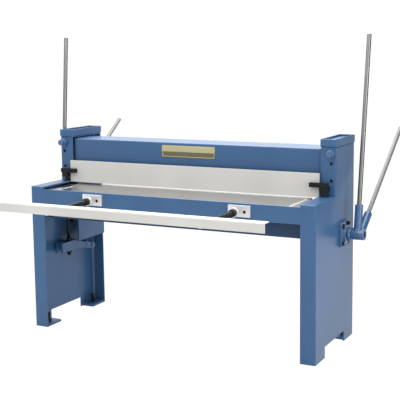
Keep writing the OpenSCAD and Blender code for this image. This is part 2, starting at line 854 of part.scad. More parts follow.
module upper_blade() {
    head_y = shear_y + blade_head_h + head_sink;
    color(bright)
    difference() {
        extrude_y(shear_y, beam_y)
            polygon([[-blade_l / 2, edge_at(-blade_l / 2)], [blade_l / 2, edge_at(blade_l / 2)],
                [blade_l / 2, edge_at(blade_l / 2) + upper_blade_h],
                [-blade_l / 2, edge_at(-blade_l / 2) + upper_blade_h]]);
        for (x = blade_screw_xs) {
            bar_y(shear_y - eps, beam_y + eps, x, upper_screw_z(x), hole(blade_screw_d));
            bar_y(shear_y - eps, head_y, x, upper_screw_z(x), hole(blade_head_d));
        }
    }
}

module upper_blade_screws() {
    color(black)
    for (x = blade_screw_xs)
        difference() {
            union() {
                bar_y(shear_y + head_sink, shear_y + head_sink + blade_head_h, x, upper_screw_z(x),
                    blade_head_d);
                bar_y(shear_y + blade_head_h, beam_y + beam_web_t, x, upper_screw_z(x), blade_screw_d);
            }
            hex_y(shear_y, shear_y + 5, x, upper_screw_z(x), 0.8 * blade_screw_d);
        }
}

// Blade beam

module upper_beam() {
    color(blue)
    difference() {
        extrude_x(-drop_x0, drop_x0)
            soft_rect([beam_y, beam_z0], [beam_y + beam_web_t, beam_z1], bend_r, [0, 0, 0, 1]);
        for (x = blade_screw_xs)
            bar_y(beam_y - eps, beam_y + beam_web_t + eps, x, upper_screw_z(x), hole(blade_screw_d));
    }
}

module beam_top() {
    color(blue)
    extrude_x(-drop_x0, drop_x0)
        soft_rect([beam_y + beam_web_t, beam_z1 - beam_top_t], [beam_y1, beam_z1], bend_r, [0, 0, 1, 0]);
}

// The rear lip and the ribs
module beam_stiffeners() {
    rib_y0 = beam_y + beam_web_t;
    rib_y1 = beam_y1 - beam_top_t;
    rib_z1 = beam_z1 - beam_top_t;
    color(blue) {
        box([-drop_x0, rib_y1, rib_z1 - beam_lip_h], [drop_x0, beam_y1, rib_z1]);
        for (x = [-beam_rib_x, beam_rib_x])
            extrude_x(x - beam_rib_t / 2, x + beam_rib_t / 2)
                polygon([[rib_y0, beam_z0 + beam_rib_up], [rib_y1, rib_z1 - beam_lip_h], [rib_y1, rib_z1],
                    [rib_y0, rib_z1]]);
    }
}

module drop_plate() {
    step_z = beam_z0 - drop_step;
    color(blue)
    difference() {
        union() {
            extrude_x(drop_x0, drop_x1)
                polygon([[beam_y, drop_z0], [drop_y1, drop_z0], [drop_y1, step_z],
                    [beam_y1, step_z + drop_slope], [beam_y1, beam_z1], [beam_y, beam_z1]]);
            box([drop_x0, spring_y - tab_w / 2, spring_z1],
                [tab_x1, spring_y + tab_w / 2, spring_z1 + tab_t]);
        }
        bar_x(drop_x0 - eps, drop_x1 + eps, slot_y0 + slot_h / 2, roller_z, slot_h);
        bar_x(drop_x0 - eps, drop_x1 + eps, slot_y1 - slot_h / 2, roller_z, slot_h);
        box([drop_x0 - eps, slot_y0 + slot_h / 2, roller_z - slot_h / 2],
            [drop_x1 + eps, slot_y1 - slot_h / 2, roller_z + slot_h / 2]);
        bar_x(drop_x0 - eps, drop_x1 + eps, shaft_y, shaft_h, shaft_slot_w);
        bar_x(drop_x0 - eps, drop_x1 + eps, shaft_y, shaft_h + beam_stroke, shaft_slot_w);
        box([drop_x0 - eps, shaft_y - shaft_slot_w / 2, shaft_h],
            [drop_x1 + eps, shaft_y + shaft_slot_w / 2, shaft_h + beam_stroke]);
    }
}

module guide_blocks() {
    color(bright)
    both_sides() box([drop_x1, guide_y0, guide_z1 - guide_h], [guide_x1, guide_y0 + guide_t, guide_z1]);
}

// Lever shaft

module cross_shaft() {
    color(bright) bar_x(shaft_short - hub_x1, hub_x1 - shaft_short, shaft_y, shaft_h, shaft_d);
}

module bearing_housing() {
    color(blue)
    difference() {
        union() {
            extrude_x(half_w, bearing_x1)
                translate([shaft_y, shaft_h])
                    soft_rect([-bearing_w / 2, -bearing_w / 2], [bearing_w / 2, bearing_w / 2],
                        bearing_corner, [1, 1, 1, 1]);
            bar_x(half_w, boss_x1, shaft_y, shaft_h, bearing_boss_d);
        }
        bar_x(half_w - eps, boss_x1 + eps, shaft_y, shaft_h, running(ring_d));
        bar_x(boss_x1 - 4, boss_x1 + eps, shaft_y, shaft_h, ring_d + 16);
        bearing_bolt_places() bar_x(half_w - eps, bearing_x1 + eps, 0, 0, hole(bearing_bolt_d));
    }
}

module bearing_bolts() {
    color(black)
    both_sides() bearing_bolt_places() {
        bar_x(in_x - 4, bearing_x1, 0, 0, bearing_bolt_d);
        hex_x(bearing_x1, bearing_x1 + 0.6 * bearing_bolt_d, 0, 0, 1.5 * bearing_bolt_d);
        hex_x(in_x - 0.8 * bearing_bolt_d, in_x, 0, 0, 1.5 * bearing_bolt_d);
    }
}

module ring_screw_place(r)
    translate([ring_x1 - ring_screw_d, shaft_y, shaft_h]) rotate([90, 0, 0]) translate([0, 0, r]) children();

// The rings and the screws that clamp them on the shaft
module bearing_rings() {
    seat = shaft_d / 2 + face_play;
    color(blue)
    both_sides() {
        difference() {
            bar_x(half_w + eps, ring_x1, shaft_y, shaft_h, ring_d);
            bar_x(half_w, ring_x1 + eps, shaft_y, shaft_h, running(shaft_d));
            ring_screw_place(0) cylinder(h = ring_d, d = hole(ring_screw_d));
        }
        ring_screw_place(seat) cylinder(h = ring_d / 2 + ring_head_h - seat, d = ring_screw_d);
        ring_screw_place(ring_d / 2) cylinder(h = ring_head_h, d = ring_head_d);
    }
}

// A shape that stands up from the shaft at x, leaning back and a little outwards
module lever_place(x, lean)
    translate([x, shaft_y, shaft_h]) rotate([-lean, 0, 0]) rotate([0, lever_splay, 0]) children();

module lever_hole() bar_z(lever_seat, socket_l + eps, 0, 0, hole(lever_d));

module lever_hub() {
    color(blue)
    difference() {
        union() {
            bar_x(hub_x0, hub_x1, shaft_y, shaft_h, hub_d);
            lever_place(hub_x0 + upright_set, upright_lean) cylinder(h = socket_l, d = socket_d);
            lever_place(hub_x0 + rear_set, rear_lean) cylinder(h = socket_l, d = socket_d);
        }
        bar_x(hub_x0 - eps, hub_x1 + eps, shaft_y, shaft_h, running(shaft_d));
        lever_place(hub_x0 + upright_set, upright_lean) lever_hole();
        lever_place(hub_x0 + rear_set, rear_lean) lever_hole();
    }
}

module lever_bar(x, lean, reach)
    color(steel)
    lever_place(x, lean)
        translate([0, 0, lever_seat]) chamfered_bar(reach - lever_seat, lever_d, lever_chamfer);

module upright_lever() lever_bar(hub_x0 + upright_set, upright_lean, upright_reach);

module rear_lever() lever_bar(hub_x0 + rear_set, rear_lean, rear_reach);

module crank() {
    pin_x0 = drop_x0 - face_play - crank_head_t;
    color(bright) {
        extrude_x(crank_x0, crank_x0 + crank_t)
            difference() {
                union() {
                    translate([shaft_y, shaft_h]) circle(d = crank_hub_d);
                    translate([roller_y, roller_z]) circle(d = crank_eye_d);
                    translate([shaft_y, shaft_h]) rotate(180 - swing / 2)
                        translate([0, -crank_arm_w / 2]) square([crank_r, crank_arm_w]);
                }
                translate([shaft_y, shaft_h]) circle(d = running(shaft_d));
            }
        bar_x(pin_x0 + crank_head_t - eps, crank_x0 + eps, roller_y, roller_z, crank_pin_d);
        bar_x(pin_x0, pin_x0 + crank_head_t, roller_y, roller_z, crank_head_d);
    }
}

module crank_rollers() {
    color(bronze)
    both_sides()
        difference() {
            bar_x(drop_x0, crank_x0 - face_play, roller_y, roller_z, roller_d);
            bar_x(drop_x0 - eps, crank_x0, roller_y, roller_z, hole(crank_pin_d));
        }
}

// Hold-down

module hold_down_plate() {
    color(pale)
    difference() {
        union() {
            box([-hold_half, hold_y0, hold_z0], [hold_half, hold_y1, hold_z1]);
            box([-hold_half, hold_y0, hold_z0], [hold_half, hold_y0 + hem_d, hold_z0 + hem_h]);
        }
        both_sides() for (x = tongue_screw_xs)
            bar_y(hold_y0 - eps, hold_y1 + eps, x, tongue_z1 - tongue_h / 2, hole(bracket_screw_d));
    }
}

module hold_bracket() {
    block_x0 = rod_x - block_w / 2;
    color(black)
    difference() {
        union() {
            rounded_plate([block_x0, rod_y - block_d / 2, block_z0],
                [block_x0 + block_w, rod_y + block_d / 2, block_z1], 4);
            box([tongue_x0, hold_y0 - tongue_t, tongue_z1 - tongue_h], [tongue_x1, hold_y0, tongue_z1]);
        }
        bar_z(block_z0 - eps, block_z1, rod_x, rod_y, hole(rod_d));
        for (x = tongue_screw_xs)
            bar_y(hold_y0 - tongue_t - eps, hold_y0 + eps, x, tongue_z1 - tongue_h / 2,
                hole(bracket_screw_d));
    }
}

module bracket_screws() {
    head_y = hold_y0 - tongue_t;
    color(black)
    both_sides() for (x = tongue_screw_xs) {
        bar_y(head_y, hold_y1, x, tongue_z1 - tongue_h / 2, bracket_screw_d);
        bar_y(head_y - 0.75 * bracket_screw_d, head_y, x, tongue_z1 - tongue_h / 2, 1.6 * bracket_screw_d);
    }
}

module hold_rods() {
    color(black) both_sides() bar_z(rod_z0, block_z1 - face_play, rod_x, rod_y, rod_d);
}

module hold_rod_nuts() {
    color(black)
    both_sides() for (z = [fork_z0 - nut_gap - rod_nut_h, fork_z1 + nut_gap])
        difference() {
            hex_z(z, z + rod_nut_h, rod_x, rod_y, rod_nut_af);
            bar_z(z - eps, z + rod_nut_h + eps, rod_x, rod_y, hole(rod_d));
        }
}

module rod_bushes() {
    color(black)
    both_sides()
        difference() {
            union() {
                bar_z(shoulder_h - side_t - bush_low, shoulder_h, rod_x, rod_y, bush_d);
                bar_z(shoulder_h, shoulder_h + bush_rim_t, rod_x, rod_y, bush_rim_d);
            }
            bar_z(shoulder_h - side_t - bush_low - eps, shoulder_h + bush_rim_t + eps, rod_x, rod_y,
                hole(rod_d));
        }
}

module hold_arm() {
    arm_x0 = rod_x - arm_t / 2;
    half_bar = 17;
    color(blue)
    difference() {
        union() {
            bar_x(arm_x0, arm_x0 + arm_t, pivot_y, pivot_h, pivot_boss_d);
            extrude_x(arm_x0, arm_x0 + arm_t)
                polygon([[pivot_y, pivot_h - half_bar], [pivot_y, pivot_h + half_bar], [fork_y1, fork_z1 - 6],
                    [fork_y1 - 10, fork_z1 - 6], [fork_y1 - 10, fork_z0 + 6], [fork_y1, fork_z0 + 6]]);
            box([rod_x - fork_w / 2, fork_y0, fork_z0], [rod_x + fork_w / 2, fork_y1, fork_z1]);
            bar_z(pivot_h + half_bar - 12, spring_z0, rod_x, spring_y, spring_pad_d);
        }
        bar_x(arm_x0 - eps, arm_x0 + arm_t + eps, pivot_y, pivot_h, running(pivot_d));
        box([rod_x - fork_slot_w / 2, fork_y0 - eps, fork_z0 - eps],
            [rod_x + fork_slot_w / 2, rod_y + rod_d / 2 + 6, fork_z1 + eps]);
    }
}

module arm_pivots() {
    arm_x0 = rod_x - arm_t / 2;
    rim_d = pivot_d + 12;
    color(blue)
    both_sides() {
        bar_x(arm_x0 - face_play - 5, in_x, pivot_y, pivot_h, pivot_d);
        bar_x(arm_x0 - face_play - 5, arm_x0 - face_play, pivot_y, pivot_h, rim_d);
        bar_x(arm_x0 + arm_t + face_play, in_x, pivot_y, pivot_h, rim_d);
    }
}

// One unbroken coil of wire that stands between an arm and the beam's side plate
function coil_point(i) =
    let (turn = i / spring_ring_count, angle = 360 * spring_turns * turn)
    [spring_d / 2 * cos(angle), spring_d / 2 * sin(angle), spring_low + (spring_high - spring_low) * turn];
function coil_ring_point(i, j) =
    let (angle = 360 * spring_turns * i / spring_ring_count, around = 360 * j / spring_sides)
    coil_point(i) + wire_d / 2 * [cos(around) * cos(angle), cos(around) * sin(angle), sin(around)];
spring_gap = min([for (i = [0:spring_ring_count - spring_rings_per_turn])
    norm(coil_point(i + spring_rings_per_turn) - coil_point(i)) - wire_d]);
echo(spring_gap = spring_gap);

module spring() {
    points = [for (i = [0:spring_ring_count], j = [0:spring_sides - 1]) coil_ring_point(i, j)];
    last = spring_ring_count * spring_sides;
    faces = concat(
        [[for (j = [0:spring_sides - 1]) j]],
        [[for (j = [spring_sides - 1:-1:0]) last + j]],
        [for (i = [0:spring_ring_count - 1], j = [0:spring_sides - 1])
            let (a = i * spring_sides + j, b = i * spring_sides + (j + 1) % spring_sides)
            [a, a + spring_sides, b]],
        [for (i = [0:spring_ring_count - 1], j = [0:spring_sides - 1])
            let (a = i * spring_sides + j, b = i * spring_sides + (j + 1) % spring_sides)
            [b, a + spring_sides, b + spring_sides]]);
    color(bright) translate([rod_x, spring_y, 0]) polyhedron(points, faces);
}

// Front gauge

module gauge_bar() {
    color(pale) {
        extrude_x(-bar_shift - bar_l / 2, -bar_shift + bar_l / 2)
            difference() {
                soft_rect([bar_y0, bar_z0], [bar_y0 + bar_d, bar_z1], bar_bend, [0, 0, 0, 1]);
                soft_rect([bar_y0 + bar_t, bar_z0 - eps], [bar_y0 + bar_d + eps, bar_z1 - bar_t],
                    bar_bend - bar_t, [0, 0, 0, bar_bend > bar_t ? 1 : 0]);
            }
        for (x = gauge_rod_xs)
            difference() {
                bar_y(gauge_rod_y0 - eps, gauge_rod_y0 + boss_l, x, gauge_rod_z, boss_d);
                bar_y(gauge_rod_y0, gauge_rod_y0 + boss_l + eps, x, gauge_rod_z, hole(gauge_rod_d));
            }
    }
}

module gauge_rods() {
    color(black)
    for (x = gauge_rod_xs)
        bar_y(gauge_rod_y0, gauge_rod_y0 + gauge_rod_l, x, gauge_rod_z, gauge_rod_d);
}

module rod_block(i) {
    x = rod_block_xs[i];
    color(pale)
    difference() {
        union() {
            box([x - rod_block_w / 2, rod_block_y0, rod_block_z1 - rod_block_h],
                [x + rod_block_w / 2, front_y, rod_block_z1]);
            bar_y(rod_boss_y0, front_y, gauge_rod_xs[i], gauge_rod_z, rod_boss_d);
        }
        bar_y(rod_boss_y0 - eps, front_y + eps, gauge_rod_xs[i], gauge_rod_z, hole(gauge_rod_d));
        bar_y(rod_block_y0 - eps, front_y + eps, block_screw_xs[i], block_screw_z, hole(block_screw_d));
        bar_y(rod_block_y0 - eps, block_head_y, block_screw_xs[i], block_screw_z, hole(block_head_d));
    }
}

module rod_block_screws() {
    color(black)
    for (x = block_screw_xs)
        difference() {
            union() {
                bar_y(block_head_y - block_head_h, block_head_y, x, block_screw_z, block_head_d);
                bar_y(block_head_y - eps, front_y + apron_t, x, block_screw_z, block_screw_d);
            }
            hex_y(rod_block_y0, block_head_y - block_head_h / 2, x, block_screw_z, 0.8 * block_screw_d);
        }
}

module lock_nut(i) {
    flutes = 12;
    y1 = rod_boss_y0 - face_play;
    color(black)
    difference() {
        bar_y(y1 - lock_nut_l, y1, gauge_rod_xs[i], gauge_rod_z, lock_nut_d);
        bar_y(y1 - lock_nut_l - eps, y1 + eps, gauge_rod_xs[i], gauge_rod_z, hole(gauge_rod_d));
        translate([gauge_rod_xs[i], 0, gauge_rod_z])
            for (k = [0:flutes - 1])
                rotate([0, k * 360 / flutes, 0])
                    bar_y(y1 - lock_nut_l - eps, y1 - 5, lock_nut_d / 2 + 1, 0, 5);
    }
}

left_side() side_frame();  // left_side_frame
side_frame();  // right_side_frame
left_side() tower_cap();  // left_tower_cap
tower_cap();  // right_tower_cap
front_apron();
front_tie();
table_bed();
bed_brackets();
bed_bolts();
table_plate();
lower_blade();
lower_blade_screws();
foot_plates();
levelling_screws();
levelling_nuts();
left_side() bearing_housing();  // left_bearing_housing
bearing_housing();  // right_bearing_housing
bearing_bolts();
rod_block(0);  // left_rod_block
rod_block(1);  // right_rod_block
rod_block_screws();
front_gibs();
guide_rails();
gib_bolts();
gib_set_screws();
rod_bushes();
arm_pivots();
cross_shaft();
bearing_rings();
left_side() lever_hub();  // left_lever_hub
lever_hub();  // right_lever_hub
left_side() upright_lever();  // left_upright_lever
upright_lever();  // right_upright_lever
left_side() rear_lever();  // left_rear_lever
rear_lever();  // right_rear_lever
left_side() crank();  // left_crank
crank();  // right_crank
crank_rollers();
upper_beam();
beam_top();
beam_stiffeners();
upper_blade();
upper_blade_screws();
left_side() drop_plate();  // left_drop_plate
drop_plate();  // right_drop_plate
guide_blocks();
hold_down_plate();
left_side() hold_bracket();  // left_hold_bracket
hold_bracket();  // right_hold_bracket
bracket_screws();
hold_rods();
hold_rod_nuts();
left_side() hold_arm();  // left_hold_arm
hold_arm();  // right_hold_arm
left_side() spring();  // left_spring
spring();  // right_spring
gauge_bar();
gauge_rods();
lock_nut(0);  // left_lock_nut
lock_nut(1);  // right_lock_nut
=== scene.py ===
# %% [markdown]
# # A hand-lever guillotine shear
#
# The machine stands on two folded side frames. A table, a hold-down plate and a raked blade beam span the
# space between them, and lever bars outside turn a cross shaft that pulls the beam down. The solids come
# ready-made and in place, so this lesson is about looks: finishes for every surface, and the pieces that
# turn plain solids into a machine, such as cast bearings, springs, bolts, threads and welds.

# %% The frame
import json
import math

import bmesh
import bpy
import numpy as np
from mathutils import Matrix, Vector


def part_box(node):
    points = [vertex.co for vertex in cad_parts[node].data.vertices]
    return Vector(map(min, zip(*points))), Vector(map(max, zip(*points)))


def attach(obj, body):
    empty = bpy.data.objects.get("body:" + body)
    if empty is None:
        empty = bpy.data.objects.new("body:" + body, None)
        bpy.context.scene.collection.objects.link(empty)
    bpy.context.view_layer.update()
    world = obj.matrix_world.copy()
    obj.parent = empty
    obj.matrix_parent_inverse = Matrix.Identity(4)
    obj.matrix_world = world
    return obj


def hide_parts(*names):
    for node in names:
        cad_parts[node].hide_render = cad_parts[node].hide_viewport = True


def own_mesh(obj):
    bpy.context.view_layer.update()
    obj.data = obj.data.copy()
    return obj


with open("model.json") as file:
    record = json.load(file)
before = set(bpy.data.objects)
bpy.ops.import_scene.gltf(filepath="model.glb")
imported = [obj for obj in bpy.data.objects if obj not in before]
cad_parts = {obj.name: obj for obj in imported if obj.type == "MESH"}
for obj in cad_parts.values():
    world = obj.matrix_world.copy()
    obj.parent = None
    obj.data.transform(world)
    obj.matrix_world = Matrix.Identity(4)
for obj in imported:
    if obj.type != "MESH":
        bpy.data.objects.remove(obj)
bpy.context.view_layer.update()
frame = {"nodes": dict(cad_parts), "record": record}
nodes = frame["nodes"]

# %% [markdown]
# ## Patterns
#
# A painted machine is rarely one flat colour. Paint follows the sheet in slow waves, has a fine orange
# peel, and turns lighter where it runs thin over an edge. All of this can be painted as an image, but a
# node tree on Object coordinates has no seams and works at any distance, so that is the way here. Each
# helper adds one kind of node and returns the socket that the next one needs.


# %% Pattern nodes
def new_material(name):
    """An empty node material with its shader, and the Object coordinates that every pattern reads."""
    material = bpy.data.materials.new(name)
    material.use_nodes = True
    tree = material.node_tree
    shader = tree.nodes["Principled BSDF"]
    place = tree.nodes.new("ShaderNodeTexCoord").outputs["Object"]
    return material, tree, shader, place


def noise(tree, place, scale, detail=3.0, long=(1.0, 1.0, 1.0), lean=0.0):
    """Smooth random values from 0 to 1, drawn out by the factors in long, after a lean about the X axis."""
    mapping = tree.nodes.new("ShaderNodeMapping")
    mapping.vector_type = "TEXTURE"
    mapping.inputs["Scale"].default_value = long
    mapping.inputs["Rotation"].default_value = (-lean, 0.0, 0.0)
    texture = tree.nodes.new("ShaderNodeTexNoise")
    texture.inputs["Scale"].default_value = scale
    texture.inputs["Detail"].default_value = detail
    tree.links.new(place, mapping.inputs["Vector"])
    tree.links.new(mapping.outputs["Vector"], texture.inputs["Vector"])
    return texture.outputs["Fac"]


def remap(tree, value, low, high, start=0.25, end=0.75):
    """Carries values between start and end over to low and high, and holds them there."""
    node = tree.nodes.new("ShaderNodeMapRange")
    node.inputs["From Min"].default_value = start
    node.inputs["From Max"].default_value = end
    node.inputs["To Min"].default_value = low
    node.inputs["To Max"].default_value = high
    tree.links.new(value, node.inputs["Value"])
    return node.outputs["Result"]


def blend_colours(tree, share, first, second):
    """The first colour where share is 0, the second where it is 1. Each is a colour or a socket."""
    node = tree.nodes.new("ShaderNodeMix")
    node.data_type = "RGBA"
    tree.links.new(share, node.inputs["Factor"])
    for name, colour in (("A", first), ("B", second)):
        socket = next(s for s in node.inputs if s.name == name and s.type == "RGBA")
        if isinstance(colour, tuple):
            socket.default_value = (*colour, 1.0)
        else:
            tree.links.new(colour, socket)
    return next(s for s in node.outputs if s.type == "RGBA")


def multiply(tree, first, second):
    """The product of two sockets, or of a socket and a number."""
    node = tree.nodes.new("ShaderNodeMath")
    node.operation = "MULTIPLY"
    tree.links.new(first, node.inputs[0])
    if isinstance(second, float):
        node.inputs[1].default_value = second
    else:
        tree.links.new(second, node.inputs[1])
    return node.outputs["Value"]


print("pattern helpers:", [helper.__name__ for helper in (noise, remap, blend_colours, multiply)])

# %% [markdown]
# ## Edges
#
# Edges show how a machine was made. Cut and folded sheet has a small radius there, it catches the light,
# and it is where the paint wears first. A Bevel modifier would put that radius into the mesh, but the
# solids stay as they are, so the Bevel node rounds the shading alone. Where its normal leaves the true one,
# there is an edge, and that is all the wear needs to know.


# %% Edge nodes
def soft_edges(tree, radius):
    """A normal that turns smoothly over sharp edges, as if each edge had been broken with a file."""
    node = tree.nodes.new("ShaderNodeBevel")
    node.samples = 4
    node.inputs["Radius"].default_value = radius
    return node.outputs["Normal"]


def edge_share(tree, rounded, sharp=0.75, flat=0.99):
    """1 on sharp edges and 0 on flat faces: how far the rounded normal leaves the true one.
    Their dot product counts as flat from the one limit up, and as sharp from the other down."""
    geometry = tree.nodes.new("ShaderNodeNewGeometry")
    dot = tree.nodes.new("ShaderNodeVectorMath")
    dot.operation = "DOT_PRODUCT"
    tree.links.new(rounded, dot.inputs[0])
    tree.links.new(geometry.outputs["Normal"], dot.inputs[1])
    return remap(tree, dot.outputs["Value"], 1.0, 0.0, sharp, flat)


def bump(tree, height, distance, normal):
    """The normal, tilted by a height that rises to distance metres."""
    node = tree.nodes.new("ShaderNodeBump")
    node.inputs["Distance"].default_value = distance
    tree.links.new(height, node.inputs["Height"])
    tree.links.new(normal, node.inputs["Normal"])
    return node.outputs["Normal"]


print("edge helpers:", [helper.__name__ for helper in (soft_edges, edge_share, bump)])

# %% [markdown]
# ## Paint
#
# The frames, the beam and the castings are sprayed in one blue, the hold-down plate and the gauge bar in a
# pale coat, and the rods and brackets in black. Paint has its colour from the base and its shine from the
# gloss on top. A Diffuse and a Glossy shader could be mixed for that, but the Principled shader holds both
# and keeps its look in other programs. Three sizes of noise give it life: waves of about 0.4 m, chips of 18
# mm along the edges, and a peel of 2 mm.


# %% Paint
wave_scale, chip_scale, peel_scale = 2.6, 55.0, 420.0
wave_long = (1.0, 1.0, 3.0)
wave_dark, wave_light = 0.90, 1.08
chip_most, chip_from, chip_to = 0.55, 0.45, 0.70


def paint(name, colour, thin_colour, roughness, peel=0.00002, edge=0.0015, shine=0.34):
    """Sprayed paint: slow waves of shade, an orange peel, and a thinner, lighter coat along edges."""
    material, tree, shader, place = new_material(name)
    rounded = soft_edges(tree, edge)
    wave = remap(tree, noise(tree, place, wave_scale, 2.0, wave_long), 0.0, 1.0)
    shade = tuple(wave_dark * c for c in colour)
    tint = tuple(wave_light * c for c in colour)
    coat = blend_colours(tree, wave, shade, tint)
    chips = remap(tree, noise(tree, place, chip_scale, 4.0), 0.0, chip_most, chip_from, chip_to)
    worn = multiply(tree, edge_share(tree, rounded), chips)
    tree.links.new(blend_colours(tree, worn, coat, thin_colour), shader.inputs["Base Color"])
    shader.inputs["Roughness"].default_value = roughness
    shader.inputs["Specular IOR Level"].default_value = shine
    orange_peel = noise(tree, place, peel_scale, 1.0)
    tree.links.new(bump(tree, orange_peel, peel, rounded), shader.inputs["Normal"])
    return material


blue, thin_blue = (0.041, 0.106, 0.227), (0.16, 0.25, 0.37)
pale, thin_pale = (0.575, 0.568, 0.542), (0.72, 0.71, 0.69)
black, thin_black = (0.006, 0.006, 0.0065), (0.03, 0.03, 0.03)
finishes = {
    "blue_paint": paint("blue_paint", blue, thin_blue, 0.30),
    "pale_paint": paint("pale_paint", pale, thin_pale, 0.42, 0.000008, 0.0012),
    "black_steel": paint("black_steel", black, thin_black, 0.45, 0.00001, 0.001, 0.25),
}
print("painted finishes:", sorted(finishes))

# %% [markdown]
# ## Bare metal
#
# The table, the blades, the shaft and the lever bars are bare. Bare steel has no coat: its colour is its
# reflection, so it is metallic, and the tool that cut it leaves fine parallel streaks. Anisotropy would
# stretch the highlights alike, but it needs tangents on every mesh. Noise that is drawn out along one axis
# shows the streaks themselves, so that is used.


# %% Bare metal
stain_scale, streak_scale = 6.0, 180.0
streak_depth = 2e-6
along_x = (60.0, 1.0, 1.0)
along_z = (1.0, 1.0, 60.0)


def steel(name, colour, dark_colour, roughness, long=(1.0, 1.0, 1.0), lean=0.0, edge=0.0008, metal=1.0):
    """Bare metal with a grain of fine streaks, which run along the axis whose factor in long is largest.
    A metal share below 1 is a dull skin, such as zinc plating that has weathered."""
    material, tree, shader, place = new_material(name)
    rounded = soft_edges(tree, edge)
    shader.inputs["Metallic"].default_value = metal
    stains = remap(tree, noise(tree, place, stain_scale, 4.0), 0.0, 1.0)
    streaks = noise(tree, place, streak_scale, 3.0, long, lean)
    share = multiply(tree, stains, remap(tree, streaks, 0.0, 1.0, 0.0, 1.0))
    tree.links.new(blend_colours(tree, share, colour, dark_colour), shader.inputs["Base Color"])
    shader.inputs["Roughness"].default_value = roughness
    tree.links.new(bump(tree, streaks, streak_depth, rounded), shader.inputs["Normal"])
    return material


bar_colour, bar_shade = (0.245, 0.243, 0.238), (0.185, 0.183, 0.178)
finishes.update({
    "block_alloy": steel("block_alloy", (0.80, 0.80, 0.795), (0.68, 0.68, 0.675), 0.45, along_x),
    "table_steel": steel("table_steel", (0.45, 0.45, 0.44), (0.35, 0.345, 0.33), 0.25, along_x),
    "blade_steel": steel("blade_steel", (0.52, 0.52, 0.51), (0.42, 0.42, 0.41), 0.27, along_x),
    "lever_steel": steel("lever_steel", bar_colour, bar_shade, 0.33, along_z),
    "machined_steel": steel("machined_steel", (0.42, 0.42, 0.41), (0.32, 0.32, 0.31), 0.34, along_x),
    "bronze": steel("bronze", (0.58, 0.38, 0.16), (0.42, 0.26, 0.10), 0.36, along_z),
    "spring_steel": steel("spring_steel", (0.16, 0.16, 0.16), (0.10, 0.10, 0.10), 0.38),
})
print("all finishes:", sorted(finishes))

# %% [markdown]
# ## Finishes for the solids
#
# The record names a material slot for every solid, so a loop can hand out the finishes, where by hand it
# would be sixty visits to the Material tab. A few solids differ from their slot: the large sheets have
# wider edges, the tie panel gets a darker blue, which is painted shade for the shade of the apron on it,
# and the set screws get a blue that is nearly black, which is painted shade for the shade of their holes.

# %% Finishes for the solids
for part in frame["record"]["subparts"]:
    mesh = nodes[part["node"]].data
    mesh.materials.clear()
    mesh.materials.append(finishes[part["material_slot"]])

sheet_nodes = ("left_side_frame", "right_side_frame", "left_tower_cap", "right_tower_cap", "front_apron",
               "upper_beam", "beam_top", "left_drop_plate", "right_drop_plate", "table_bed")
sheet_finish = paint("sheet_paint", blue, thin_blue, 0.30, edge=0.0035)
for node in sheet_nodes:
    nodes[node].data.materials[0] = sheet_finish

# Painted shade: the tie panel's blue is darkened to this share, for the shade that the apron casts on it.
painted_shade_factor = 0.42
painted_shade_blue = tuple(painted_shade_factor * c for c in blue)
tie_shade_painted_finish = paint("tie_shade_painted", painted_shade_blue, blue, 0.40, shine=0.25)
# Painted shade: the set screws are a blue that is nearly black, for the shade in the holes they sit in.
screw_shade_painted_finish = paint("screw_shade_painted", (0.008, 0.018, 0.042), blue, 0.40, edge=0.0008)
nodes["front_tie"].data.materials[0] = tie_shade_painted_finish
nodes["gib_set_screws"].data.materials[0] = screw_shade_painted_finish
print("solids in sheet paint:", len(sheet_nodes), "of", len(nodes))

# %% [markdown]
# ## Camera
#
# The view is from the operator's right, a little above the table, with a long lens. A Track To constraint
# would aim the camera at the machine and centre it, but here the optical axis doesn't meet the middle of
# the picture. So the place and the angles are numbers, fitted to the machine's straight edges, and the
# picture is shifted on the sensor: turning the camera instead would change the perspective.

# %% Camera
camera_place = (2.530, -4.702, 1.656)
camera_turn = math.radians(25.017)
camera_tilt = math.radians(90.0 - 7.675)
camera_roll = math.radians(-0.387)
sensor_mm = 36.0
focal_share = 2.3113
optical_axis_share = (0.1038, 0.0680)

camera_data = bpy.data.cameras.new("camera")
camera_data.sensor_width = sensor_mm
camera_data.lens = focal_share * sensor_mm
camera_data.shift_x = -optical_axis_share[0]
camera_data.shift_y = -optical_axis_share[1]
camera = bpy.data.objects.new("camera", camera_data)
camera.matrix_world = (Matrix.Translation(camera_place) @ Matrix.Rotation(camera_turn, 4, "Z")
                       @ Matrix.Rotation(camera_tilt, 4, "X") @ Matrix.Rotation(camera_roll, 4, "Z"))
bpy.context.scene.collection.objects.link(camera)
bpy.context.scene.camera = camera
bpy.context.scene.view_settings.view_transform = "Standard"
print("lens in millimetres:", round(camera_data.lens, 1))

# %% [markdown]
# ## Floor and room
#
# Catalogue pictures of machines have a white ground. A flood of light on a pale floor gives one too, but it
# washes out the paint. So the floor and the room look plain white to the camera, to mirrors and to glass,
# and light the machine at a lower level. The floor keeps a small share of its own shading, for the shadow.


# %% White ground
white_strength = 1.04


def either(tree, first, second):
    """1 where either of two sockets is 1: their sum, held at 1."""
    node = tree.nodes.new("ShaderNodeMath")
    node.operation = "ADD"
    node.use_clamp = True
    tree.links.new(first, node.inputs[0])
    tree.links.new(second, node.inputs[1])
    return node.outputs["Value"]


def white_to_the_eye(tree, surface, share):
    """Mixes the surface with plain white for rays from the camera, a mirror or a glass."""
    path = tree.nodes.new("ShaderNodeLightPath")
    seen = either(tree, path.outputs["Is Camera Ray"], path.outputs["Is Glossy Ray"])
    seen = either(tree, seen, path.outputs["Is Transmission Ray"])
    kind = "ShaderNodeBackground" if surface.node.type == "BACKGROUND" else "ShaderNodeEmission"
    white = tree.nodes.new(kind)
    white.inputs["Color"].default_value = (1.0, 1.0, 1.0, 1.0)
    white.inputs["Strength"].default_value = white_strength
    mix = tree.nodes.new("ShaderNodeMixShader")
    tree.links.new(multiply(tree, seen, share), mix.inputs["Fac"])
    tree.links.new(surface, mix.inputs[1])
    tree.links.new(white.outputs[0], mix.inputs[2])
    return mix.outputs[0]


